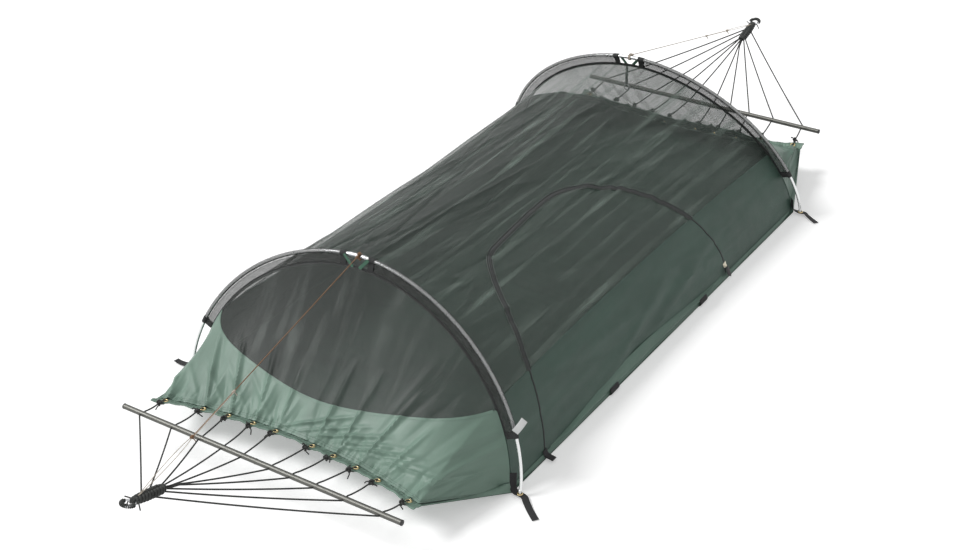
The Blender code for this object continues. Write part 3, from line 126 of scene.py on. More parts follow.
def settle(above: Callable[[Array], Array], low: Array, high: Array) -> Array:
    """Halves intervals down to where a condition stops to hold.

    Args:
        above: Whether the condition holds at each value.
        low: Values at which it holds.
        high: Values at which it doesn't.

    Returns:
        The values between.
    """
    for _ in range(40):
        middle = (low + high) / 2
        held = above(middle)
        low, high = np.where(held, middle, low), np.where(held, high, middle)
    return (low + high) / 2


def run_along(points: Array) -> Array:
    """Length walked along a line of points at each of them."""
    steps = np.linalg.norm(np.diff(np.asarray(points, dtype=float), axis=0), axis=1)
    return np.concatenate([[0.0], np.cumsum(steps)])


def evenly(points: Array, count: int) -> Array:
    """Places points evenly by length along a line.

    Args:
        points: The line.
        count: How many points the result has.

    Returns:
        The new points.
    """
    points = np.asarray(points, dtype=float)
    run = run_along(points)
    picks = np.linspace(0.0, run[-1], count)
    return np.stack([np.interp(picks, run, points[:, k]) for k in range(points.shape[1])], axis=1)


def lay_flat(down: Array, across: Array) -> Array:
    """Flat coordinates of a grid, from those of its rows and its columns."""
    return np.stack(np.broadcast_arrays(down[:, None], across[None, :]), axis=-1)


def full_turn(count: int) -> Array:
    """Angles spaced evenly round a circle."""
    return np.linspace(0.0, math.tau, count + 1)[:-1]


def straight(one: Array, two: Array, count: int) -> Array:
    """Points spaced evenly from one place to another."""
    share = np.linspace(0.0, 1.0, count)[:, None]
    return one * (1 - share) + two * share


def arc(place: Array, radius: float, one: Array, two: Array, angles: Array) -> Array:
    """Points round a place, in direction one at angle 0 and in direction two at a quarter turn."""
    return place + radius * (np.cos(angles)[:, None] * one + np.sin(angles)[:, None] * two)


def corners(node: str) -> Array:
    """The low and the high corner of a CAD node's box."""
    return np.array(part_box(node), dtype=float)


def curved(points: Array, count: int) -> Array:
    """A smooth line through points, as a chord-length Catmull-Rom spline.

    Args:
        points: The places that the line passes.
        count: How many points the result has.

    Returns:
        Points spaced evenly along the line.
    """
    points = np.asarray(points, dtype=float)
    run = run_along(points)
    slopes = np.gradient(points, run, axis=0)
    fine = []
    for k in range(len(points) - 1):
        span = run[k + 1] - run[k]
        t = np.linspace(0.0, 1.0, 13)[:, None]
        if k < len(points) - 2:
            t = t[:-1]
        fine.append(
            (2 * t**3 - 3 * t**2 + 1) * points[k]
            + (t**3 - 2 * t**2 + t) * span * slopes[k]
            + (3 * t**2 - 2 * t**3) * points[k + 1]
            + (t**3 - t**2) * span * slopes[k + 1]
        )
    return evenly(np.concatenate(fine), count)


@dataclass(frozen=True)
class TentShape:
    """The tent's own form, repeated from the part: arches, canopy, door line, end cloth, hems."""

    bed_half_width: float = 0.535
    bed_thickness: float = 0.003
    corner_half_width: float = 0.430
    corner_y: float = 1.155
    corner_rise: float = 0.104
    hem_hollow: float = 0.058
    band_width: float = 0.027
    band_slope: float = math.radians(15)
    seam_gap: float = 0.0006
    arch_y: float = 0.869
    arch_lean: float = math.radians(14.5)
    arch_half_span: float = 0.560
    arch_height: float = 0.487
    arch_power: float = 1.865
    pivot_height: float = 0.009
    pole_radius: float = 0.00475
    seam_half_span: float = 0.528
    seam_height: float = 0.454
    seam_thickness: float = 0.003
    roof_inset: float = 0.00236
    roof_sag: float = 0.030
    side_pull_in: float = 0.018
    end_sag: float = 0.030
    end_pull_in: float = 0.025
    end_first_turn: float = 0.055
    end_seam_drop: float = 0.008
    end_seam_sag: float = 0.040
    end_seam_sag_power: float = 5.0
    corner_turn: float = 0.513
    tub_height: float = 0.215
    cloth: float = 0.0020
    door_near_y: float = -0.700
    door_far_y: float = 0.380
    door_top_near_y: float = -0.440
    door_top_far_y: float = -0.110
    door_top: float = 0.392
    door_foot: float = 0.018
    door_near_power: float = 2.6
    door_far_power: float = 2.3
    sleeve_foot: float = 0.145
    top_gap: float = 0.0375
    top_near: float = -0.0165
    top_far: float = -0.0355
    eyelet_inset: float = 0.0135
    eyelet_places: tuple[float, ...] = (0.0615, 0.1345, 0.2135, 0.2910, 0.4050)
    hole_places: tuple[float, ...] = (0.0460, 0.1125, 0.1880, 0.2820, 0.3940)

    def section(self, turn: Array, half_span: float, height: float) -> tuple[Array, Array]:
        """An arch in its own plane, from its left foot at 0 to its right foot at pi.

        Args:
            turn: Angle along the arch.
            half_span: Half of its width.
            height: Its height.

        Returns:
            Places across and above the feet.
        """
        c, s = np.cos(turn), np.sin(turn)
        across = -half_span * np.sign(c) * np.abs(c) ** (2 / self.arch_power)
        return across, height * np.abs(s) ** (2 / self.arch_power)

    def arch_point(self, end: End, across: Array, up: Array, along: Array = 0.0) -> Array:
        """A point by its place in an arch's plane.

        Args:
            end: Which arch.
            across: Place across the tent.
            up: Height in the leaning plane.
            along: Distance out of the tent, square to the plane.

        Returns:
            The point.
        """
        c, s = math.cos(self.arch_lean), math.sin(self.arch_lean)
        across, up, along = np.broadcast_arrays(across, up, along)
        y = end.value * (self.arch_y - up * s + along * c)
        return np.stack([across, y, self.pivot_height + up * c + along * s], axis=-1)

    def arch_normal(self, end: End) -> Array:
        """Unit normal of an arch's plane, out of the tent."""
        return vec(0.0, end.value * math.cos(self.arch_lean), math.sin(self.arch_lean))

    def seam(self, end: End, turn: Array, along: float = 0.0) -> Array:
        """Points of the seam where roof, end net and sleeve meet."""
        return self.arch_point(end, *self.section(turn, self.seam_half_span, self.seam_height), along)

    def pole(self, end: End, turn: Array) -> Array:
        """Points of a pole's centreline."""
        return self.arch_point(end, *self.section(turn, self.arch_half_span, self.arch_height))

    def turn_at(self, across: float, half_span: float) -> float:
        """The arch's turn at a place across the tent."""
        return math.acos(-math.copysign((abs(across) / half_span) ** (self.arch_power / 2), across))

    def turn_up(self, height: float, total: float) -> float:
        """The arch's turn on the left at a height above its feet."""
        return math.asin((height / total) ** (self.arch_power / 2))

    def top_place(self, end: End) -> float:
        """Middle of the bare stretch of pole at an arch's top."""
        return self.top_near if end is End.NEAR else self.top_far

    def sleeve_turns(self, end: End, side: Side, count: int) -> Array:
        """Turns along one sleeve, spaced evenly, from its foot to the bare stretch of pole."""
        foot = self.turn_up(self.sleeve_foot, self.arch_height)
        foot = foot if side is Side.LEFT else math.pi - foot
        top = self.turn_at(self.top_place(end) + side.value * self.top_gap, self.arch_half_span)
        fine = np.linspace(foot, top, 400)
        run = run_along(np.stack(self.section(fine, self.arch_half_span, self.arch_height), axis=1))
        return np.interp(np.linspace(0.0, run[-1], count), run, fine)

    def nearest_seam_turn(self, turn: float) -> float:
        """Turn of the seam point nearest to a point of the pole."""
        place = np.array(self.section(turn, self.arch_half_span, self.arch_height))
        fine = np.linspace(max(turn - 0.2, 0.0), min(turn + 0.2, math.pi), 401)
        seam = np.stack(self.section(fine, self.seam_half_span, self.seam_height), axis=1)
        return float(fine[np.argmin(np.linalg.norm(seam - place, axis=1))])

    def canopy(self, share: Array, turn: Array) -> Array:
        """The roof and walls between the arches, without folds.

        Args:
            share: 0 at the near arch to 1 at the far arch.
            turn: Angle along the arch.

        Returns:
            The points.
        """
        share, turn = np.broadcast_arrays(np.asarray(share, dtype=float), turn)
        near = self.seam(End.NEAR, turn, -self.roof_inset)
        far = self.seam(End.FAR, turn, -self.roof_inset)
        point = near * (1 - share)[..., None] + far * share[..., None]
        slack = 4 * share * (1 - share)
        point[..., 2] -= self.roof_sag * slack * np.sin(turn) ** 2
        point[..., 0] -= np.sign(point[..., 0]) * self.side_pull_in * slack * np.abs(np.sin(2 * turn))
        return point

    def canopy_normal(self, share: Array, turn: Array) -> Array:
        """Outward unit normals of the unfolded canopy."""
        step = 1e-3
        along = self.canopy(share + step, turn) - self.canopy(share - step, turn)
        around = self.canopy(share, turn + step) - self.canopy(share, turn - step)
        return unit(np.cross(along, -around))

    def turn_for_height(self, share: Array, height: Array) -> Array:
        """Turns on the right slope at which the unfolded canopy stands that high."""
        share, height = np.broadcast_arrays(np.asarray(share, dtype=float), height)
        crown, foot = np.full(share.shape, math.pi / 2), np.full(share.shape, math.pi)
        return settle(lambda turn: self.canopy(share, turn)[..., 2] > height, crown, foot)

    def share_at(self, y: Array) -> Array:
        """Where along the canopy a place on Y lies."""
        reach = self.arch_y - self.roof_inset
        return (np.asarray(y, dtype=float) + reach) / (2 * reach)

    def around(self, turn: Array) -> Array:
        """Cloth length from the crown to a turn of the seam, right of it positive."""
        fine = np.linspace(0.0, math.pi, 721)
        run = run_along(np.stack(self.section(fine, self.seam_half_span, self.seam_height), axis=1))
        return np.interp(turn, fine, run - run[-1] / 2)

    def door_line(self, count: int) -> Array:
        """Points (y, height) along the zip, evenly spaced, from its near foot to its far foot."""
        quarter = np.linspace(0.0, math.pi / 2, 401)
        lines = []
        for angle, start, stop, power in (
            (quarter, self.door_top_near_y, self.door_near_y, self.door_near_power),
            (quarter[::-1], self.door_top_far_y, self.door_far_y, self.door_far_power),
        ):
            reach = np.cos(angle) ** (2 / power)
            rise = np.sin(angle) ** (2 / power)
            height = self.door_foot + (self.door_top - self.door_foot) * rise
            lines.append(np.stack([start + (stop - start) * reach, height], axis=1))
        fine = np.concatenate(lines)
        share = self.share_at(fine[:, 0])
        run = run_along(self.canopy(share, self.turn_for_height(share, fine[:, 1])))
        picks = np.linspace(0.0, run[-1], count)
        return np.stack([np.interp(picks, run, fine[:, 0]), np.interp(picks, run, fine[:, 1])], axis=1)

    def door_edge(self, y: Array) -> Array:
        """Height of the zip's line above a place along the tent, below the bed outside the door."""
        near = (self.door_top_near_y - y) / (self.door_top_near_y - self.door_near_y)
        far = (y - self.door_top_far_y) / (self.door_far_y - self.door_top_far_y)
        rises = [
            np.clip(1 - np.clip(reach, 0, 1) ** power, 0, 1) ** (1 / power)
            for reach, power in ((near, self.door_near_power), (far, self.door_far_power))
        ]
        height = self.door_foot + (self.door_top - self.door_foot) * np.minimum(*rises)
        return np.where((near > 1) | (far > 1), -1.0, height)

    def hem_y(self, x: Array) -> Array:
        """How far out the hem's edge lies at a place across the bed."""
        share = np.minimum(np.abs(x), self.corner_half_width) / self.corner_half_width
        return self.corner_y - self.hem_hollow * (1 - share**2)

    def hem_inner_y(self, x: Array) -> Array:
        """How far out the bed and the end panel reach."""
        return self.hem_y(x) - self.band_width * math.cos(self.band_slope) - self.seam_gap

    @property
    def hem_inner_rise(self) -> float:
        """Height of the hem band's inner edge."""
        return self.corner_rise - self.band_width * math.sin(self.band_slope)

    def hem_point(self, end: End, x: Array, inset: Array) -> Array:
        """Points of the hem band's middle surface, that far in from its edge."""
        x, inset = np.broadcast_arrays(np.asarray(x, dtype=float), inset)
        y = self.hem_y(x) - inset * math.cos(self.band_slope)
        return np.stack([x, end.value * y, self.corner_rise - inset * math.sin(self.band_slope)], axis=-1)

    def hem_normal(self, end: End) -> Array:
        """Upward normal of the hem band."""
        return vec(0.0, -end.value * math.sin(self.band_slope), math.cos(self.band_slope))

    @property
    def eyelets(self) -> list[float]:
        """Places of a hem's ten eyelets across the bed, left to right."""
        return [-x for x in reversed(self.eyelet_places)] + list(self.eyelet_places)

    @property
    def holes(self) -> list[float]:
        """Places of a bar's ten cord holes, left to right."""
        return [-x for x in reversed(self.hole_places)] + list(self.hole_places)

    def end_target(self, turn: Array) -> Array:
        """Where the end cloth meets the bed or the hem, for the far end."""
        corner = np.array(
            [self.corner_half_width, float(self.hem_inner_y(self.corner_half_width)), self.hem_inner_rise]
        )
        foot = vec(self.seam_half_span, self.arch_y, self.bed_thickness / 2)
        turn = np.asarray(turn, dtype=float)
        folded = np.minimum(turn, math.pi - turn)
        share = np.clip(folded / self.corner_turn, 0, 1)[..., None]
        x = self.corner_half_width * (math.pi / 2 - folded) / (math.pi / 2 - self.corner_turn)
        hem = np.stack([x, self.hem_inner_y(x), np.full(x.shape, self.hem_inner_rise)], axis=-1)
        point = np.where((folded < self.corner_turn)[..., None], foot * (1 - share) + corner * share, hem)
        point[..., 0] *= np.where(turn < math.pi / 2, -1, 1)
        point[..., 2] += self.bed_thickness / 2 + self.cloth
        return point

    def end_cloth(self, end: End, turn: Array, share: Array) -> Array:
        """The cloth beyond an arch, without folds: share runs from the arch's seam to the hem."""
        turn, share = np.broadcast_arrays(np.asarray(turn, dtype=float), share)
        start = self.seam(end, turn, self.seam_thickness / 2 + self.cloth)
        target = self.end_target(turn) * end.flip
        point = start * (1 - share)[..., None] + target * share[..., None]
        slack = 4 * share * (1 - share)
        point[..., 2] -= self.end_sag * slack * np.sin(turn) ** 2
        point[..., 0] *= 1 - self.end_pull_in * slack
        return point

    def end_seam_share(self, end: End, turn: Array) -> Array:
        """How far down the end cloth the seam of net and panel runs, or 0 where the cloth starts below it."""
        turn = np.asarray(turn, dtype=float)
        sag = self.end_seam_sag * np.sin(turn) ** self.end_seam_sag_power
        height = self.tub_height - self.end_seam_drop - sag
        top, hem = np.zeros(turn.shape), np.ones(turn.shape)
        found = settle(lambda share: self.end_cloth(end, turn, share)[..., 2] > height, top, hem)
        return np.where(self.end_cloth(end, turn, 0.0)[..., 2] <= height, 0.0, found)

    def bed(self, end: End, across: Array, share: Array) -> Array:
        """The bed's middle surface beyond an arch: share runs from the arch to the hem."""
        across, share = np.broadcast_arrays(np.asarray(across, dtype=float), share)
        level = np.full(across.shape, self.bed_thickness / 2)
        foot = np.stack([across * self.bed_half_width, np.full(across.shape, self.arch_y), level], axis=-1)
        x = across * (self.corner_half_width + self.bed_half_width - self.seam_half_span)
        rise = np.full(across.shape, self.hem_inner_rise - self.bed_thickness / 2)
        hem = np.stack([x, self.hem_inner_y(x), rise], axis=-1)
        return (foot * (1 - share)[..., None] + hem * share[..., None]) * end.flip

    def clew(self, share: float) -> Array:
        """A point on the plaited clew's axis, from its inner tip to its eye, for the far end."""
        return vec(0.0, 1.551, 0.2568) * (1 - share) + vec(0.0, 1.648, 0.2827) * share


SHAPE = TentShape()


@dataclass(frozen=True)
class Gauge:
    """Thicknesses of the sewn cloths, as dressed."""

    bed: float = 0.0018
    wall: float = 0.0014
    light: float = 0.0012
    netting: float = 0.0008
    tunnel: float = 0.0007
    fin: float = 0.0006
    sleeve_band: float = 0.0009
    hem: float = 0.0034


GAUGE = Gauge()


@dataclass(frozen=True)
class Crease:
    """One fold line on flat cloth, from start to stop, with its width and height at both ends."""

    start: tuple[float, float]
    stop: tuple[float, float]
    widths: tuple[float, float]
    height: float


class Creases:
    """Folds of a cloth, added up."""

    def __init__(self, creases: Iterable[Crease]) -> None:
        """Keeps the folds."""
        self.creases = list(creases)

    def lift(self, along: Array, across: Array) -> Array:
        """How far the folds push the cloth out.

        Args:
            along: First flat coordinate of each point.
            across: Second flat coordinate of each point.

        Returns:
            Heights in metres.
        """
        total = np.zeros(np.broadcast(along, across).shape)
        for crease in self.creases:
            a, b = np.array(crease.start), np.array(crease.stop)
            line = b - a
            t = ((along - a[0]) * line[0] + (across - a[1]) * line[1]) / max(line @ line, SMALL)
            held = np.clip(t, 0.0, 1.0)
            gap = (along - a[0] - held * line[0]) ** 2 + (across - a[1] - held * line[1]) ** 2
            width = crease.widths[0] + (crease.widths[1] - crease.widths[0]) * held
            fade = np.sin(math.pi * (0.04 + 0.92 * held)) ** 0.7
            total += crease.height * fade / (1.0 + gap / width**2) ** 2
        return total

    @staticmethod
    def long_ones(
        count: int, area: tuple[float, float, float, float], seed: int, height: float
    ) -> list[Crease]:
        """Scatters long shallow folds that lie mostly along the cloth.

        Args:
            count: How many.
            area: Lowest and highest first, then second, flat coordinate.
            seed: Seed of their places.
            height: Largest height.

        Returns:
            The folds.
        """
        rng = np.random.default_rng(seed)
        folds = []
        for _ in range(count):
            middle = (rng.uniform(area[0], area[1]), rng.uniform(area[2], area[3]))
            half = rng.uniform(0.12, 0.42)
            slope = rng.normal(0.10, 0.13)
            start = (middle[0] - half, middle[1] - half * slope)
            stop = (middle[0] + half, middle[1] + half * slope)
            wide = rng.uniform(0.006, 0.016)
            size = height * rng.uniform(0.35, 1.0) * (1 if rng.random() < 0.6 else -1)
            folds.append(Crease(start, stop, (wide, wide * rng.uniform(0.6, 1.6)), size))
        return folds

    @staticmethod
    def fan(
        hub: tuple[float, float], angles: Sequence[float], reach: float, width: float, height: float
    ) -> list[Crease]:
        """Folds that spread from one point.

        Args:
            hub: Where they start.
            angles: Direction of each, in degrees from the first flat coordinate.
            reach: Their length.
            width: Their width at the far end.
            height: Their height.

        Returns:
            The folds.
        """
        folds = []
        for k, angle in enumerate(angles):
            way = math.radians(angle)
            near, far = 0.02, reach * (0.75 + 0.25 * math.sin(2.3 * k))
            start = (hub[0] + near * math.cos(way), hub[1] + near * math.sin(way))
            stop = (hub[0] + far * math.cos(way), hub[1] + far * math.sin(way))
            folds.append(Crease(start, stop, (width * 0.4, width), height * (1 if k % 2 else -0.6)))
        return folds


class Draft:
    """Collects closed shapes with their flat coordinates and makes one mesh piece of them."""

    def __init__(self) -> None:
        """Starts empty."""
        self.verts: list[tuple[float, ...]] = []
        self.faces: list[tuple[int, ...]] = []
        self.flat: list[tuple[tuple[float, float], ...]] = []

    def points(self, points: Iterable[Sequence[float]]) -> list[int]:
        """Adds points and gives their numbers."""
        first = len(self.verts)
        self.verts.extend(tuple(float(v) for v in point) for point in points)
        return list(range(first, len(self.verts)))

    def face(self, corners: Sequence[int], flat: Sequence[Sequence[float]]) -> None:
        """Adds a face with its corners' flat coordinates."""
        self.faces.append(tuple(corners))
        self.flat.append(tuple((float(u), float(v)) for u, v in flat))

    def piece(self, name: str, finish: Material, sharp: float = 40.0) -> Object:
        """Makes the object.

        Args:
            name: The piece's name.
            finish: Its material.
            sharp: Angle in degrees past which an edge stays sharp.

        Returns:
            The object, at the origin.
        """
        data = bpy.data.meshes.new(name)
        data.from_pydata(self.verts, [], self.faces)
        layer = data.uv_layers.new(name="Flat")
        layer.data.foreach_set("uv", [v for corners in self.flat for uv in corners for v in uv])
        data.materials.append(finish)
        data.shade_smooth()
        data.set_sharp_from_angle(angle=math.radians(sharp))
        data.validate()
        obj = bpy.data.objects.new(name, data)
        bpy.context.scene.collection.objects.link(obj)
        return obj

    def cloth(self, points: Array, flat: Array, thickness: float, keep: Array | None = None) -> "Draft":
        """Adds a closed sheet over a grid, cut along the line where keep passes zero.

        Args:
            points: Grid of points.
            flat: Flat coordinates of the grid.
            thickness: The cloth's thickness, half of it to each side.
            keep: A number for each point; the cloth stays where it is positive.

        Returns:
            This draft.
        """
        rows, columns = points.shape[:2]
        normal = unit(np.cross(np.gradient(points, axis=0), np.gradient(points, axis=1)))
        place, way, lay = points.reshape(-1, 3), normal.reshape(-1, 3), flat.reshape(-1, 2)
        spots = [(place[k], way[k], lay[k]) for k in range(rows * columns)]
        held = np.ones(rows * columns) if keep is None else keep.reshape(-1)
        cuts: dict[tuple[int, int], int] = {}

        def cut(a: int, b: int) -> int:
            """The point of an edge at which the cloth ends."""
            key = (min(a, b), max(a, b))
            if key not in cuts:
                one, two = key
                t = min(max(held[one] / (held[one] - held[two]), 0.02), 0.98)
                mixed = [spots[one][k] * (1 - t) + spots[two][k] * t for k in range(3)]
                cuts[key] = len(spots)
                spots.append((mixed[0], unit(mixed[1]), mixed[2]))
            return cuts[key]

        front = []
        for i in range(rows - 1):
            for j in range(columns - 1):
                a = i * columns + j
                quad = (a, a + columns, a + columns + 1, a + 1)
                signs = [held[k] > 0 for k in quad]
                if all(signs):
                    front.append(quad)
                elif any(signs):
                    shape = []
                    for k in range(4):
                        one, two = quad[k], quad[(k + 1) % 4]
                        if signs[k]:
                            shape.append(one)
                        if signs[k] != signs[(k + 1) % 4]:
                            shape.append(cut(one, two))
                    if len(shape) > 2:
                        front.append(tuple(shape))
        used = sorted({k for shape in front for k in shape})
        tops = dict(zip(used, self.points(spots[k][0] + spots[k][1] * thickness / 2 for k in used)))
        backs = dict(zip(used, self.points(spots[k][0] - spots[k][1] * thickness / 2 for k in used)))
        edges = {(shape[k], shape[(k + 1) % len(shape)]) for shape in front for k in range(len(shape))}
        for shape in front:
            self.face([tops[k] for k in shape], [spots[k][2] for k in shape])
            self.face([backs[k] for k in reversed(shape)], [spots[k][2] for k in reversed(shape)])
        for a, b in edges:
            if (b, a) not in edges:
                lays = [spots[a][2], spots[a][2], spots[b][2], spots[b][2]]
                self.face([tops[a], backs[a], backs[b], tops[b]], lays)
        return self

    def swept(self, rings: Array, closed: bool = False, size: float = 1.0) -> "Draft":
        """Adds a skin over rings of points.

        Args:
            rings: Grid of points, one closed ring for each row.
            closed: Whether the last ring joins the first; an open run gets end faces.
            size: Cloth length round a ring, for the flat coordinates.

        Returns:
            This draft.
        """
        count, sides = rings.shape[:2]
        numbers = np.array(self.points(rings.reshape(-1, 3))).reshape(count, sides)
        run = run_along(rings.mean(axis=1))
        length = run[-1] + float(np.linalg.norm(rings[-1].mean(axis=0) - rings[0].mean(axis=0)))
        for i in range(count if closed else count - 1):
            j = (i + 1) % count
            low, high = run[i], run[j] if j else length
            for k in range(sides):
                m = (k + 1) % sides
                u, w = size * k / sides, size * (k + 1) / sides
                self.face(
                    [numbers[i, k], numbers[i, m], numbers[j, m], numbers[j, k]],
                    [(u, low), (w, low), (w, high), (u, high)],
                )
        if not closed:
            for row, order in ((0, -1), (count - 1, 1)):
                middle = self.points([rings[row].mean(axis=0)])[0]
                ring = list(numbers[row])[::order]
                for k in range(sides):
                    corners = [ring[k], ring[(k + 1) % sides], middle]
                    self.face(corners, [(0, 0), (size / sides, 0), (0, size)])
        return self

    def tube(
        self,
        points: Array,
        radius: Array,
        sides: int = 12,
        closed: bool = False,
        first: Sequence[float] = (1, 0, 0),
    ) -> "Draft":
        """Adds a round cord, wire or pole along points.

        Args:
            points: The centreline.
            radius: One radius, or one for each point.
            sides: Faces round it.
            closed: Whether it is a ring.
            first: A direction across its start.

        Returns:
            This draft.
        """
        points = np.asarray(points, dtype=float)
        radii = np.broadcast_to(radius, len(points))
        if closed:
            tangents = unit(np.roll(points, -1, axis=0) - np.roll(points, 1, axis=0))
        else:
            tangents = unit(np.gradient(points, axis=0))
        side = np.asarray(first, dtype=float)
        angles = math.tau * np.arange(sides) / sides
        rings = []
        for point, tangent, size in zip(points, tangents, radii):
            side = unit(side - tangent * (side @ tangent))
            up = np.cross(tangent, side)
            rings.append(arc(point, size, side, up, angles))
        return self.swept(np.array(rings), closed, size=math.tau * float(np.mean(radii)))

    def ribbon(self, points: Array, across: Array, width: float, thickness: float) -> "Draft":
        """Adds flat webbing with rounded edges.

        Args:
            points: The middle line.
            across: The direction of its width at each point, or at all.
            width: Its width.
            thickness: Its thickness.

        Returns:
            This draft.
        """
        points = np.asarray(points, dtype=float)
        tangents = unit(np.gradient(points, axis=0))
        across = np.broadcast_to(across, points.shape)
        across = unit(across - tangents * np.sum(across * tangents, axis=1, keepdims=True))
        out = np.cross(tangents, across)
        half, deep = width / 2, thickness / 2
        flats = np.linspace(-0.9, 0.9, 5)
        section = [(u * half, -deep) for u in flats] + [(half, 0.0)] + [(u * half, deep) for u in flats[::-1]]
        section.append((-half, 0.0))
        rings = [[p + u * a + v * n for u, v in section] for p, a, n in zip(points, across, out)]
        return self.swept(np.array(rings), size=2 * width)

    def turned(
        self,
        profile: Sequence[tuple[float, float]],
        place: Sequence[float],
        axis: Sequence[float],
        sides: int,
    ) -> "Draft":
        """Adds a turned ring from a closed outline of (radius, height).

        Args:
            profile: The outline, in order.
            place: Its origin.
            axis: The axis it turns about.
            sides: Steps round it.

        Returns:
            This draft.
        """
        one, two, up = np.array(Vector(UP).rotation_difference(Vector(axis)).to_matrix()).T
        angles = math.tau * np.arange(sides) / sides
        rings = [arc(place + height * up, radius, one, two, angles) for radius, height in reversed(profile)]
        return self.swept(np.stack(rings, axis=1), closed=True, size=0.01)


class Motif(Enum):
    """What a row repeats."""

    STITCH = "stitch"
    TOOTH = "tooth"
    EYELET = "eyelet"


class Row(Enum):
    """Spacing of a row, and length, width and height of what it repeats."""

    WELT = (0.0036, (0.0024, 0.0006, 0.0005))
    ZIP = (0.0034, (0.0022, 0.0006, 0.0005))
    TEETH = (0.0024, (0.0013, 0.0026, 0.0018))
    GATHERS = (0.0042, (0.0028, 0.0009, 0.0006))
    HEM = (0.0038, (0.0026, 0.0008, 0.0006))
    EYELETS = (1.0, (0.0070, 0.0021, 0.0))
    SLEEVE = (0.0038, (0.0024, 0.0007, 0.0005))
    BINDING = (0.0036, (0.0024, 0.0007, 0.0005))
    STRAP = (0.0034, (0.0024, 0.0008, 0.0006))


class Wiring:
    """A node tree that is built step by step."""

    def __init__(self, tree: bpy.types.NodeTree) -> None:
        """Takes the tree."""
        self.tree = tree

    def feed(self, socket: Socket, value: object) -> None:
        """Gives a socket a constant or a link."""
        if isinstance(value, Socket):
            self.tree.links.new(value, socket)
        else:
            socket.default_value = value

    def node(self, kind: str, settings: dict[str, object] | None = None, **values: object) -> bpy.types.Node:
        """Adds a node.

        Args:
            kind: Its type.
            settings: Its own properties.
            values: Constants or sockets by input, with spaces in their names written as underscores.

        Returns:
            The node.
        """
        node = self.tree.nodes.new(kind)
        for name, value in (settings or {}).items():
            setattr(node, name, value)
        for name, value in values.items():
            self.feed(node.inputs[name.replace("_", " ")], value)
        return node

    def seen(self) -> Socket:
        """1 for camera, glossy and transmitted rays, and 0 for the rest."""
        rays = self.node("ShaderNodeLightPath").outputs
        total = rays["Is Camera Ray"]
        for name in ("Is Glossy Ray", "Is Transmission Ray"):
            join = self.node("ShaderNodeMath", {"operation": "ADD", "use_clamp": True})
            self.feed(join.inputs[0], total)
            self.feed(join.inputs[1], rays[name])
            total = join.outputs["Value"]
        return total


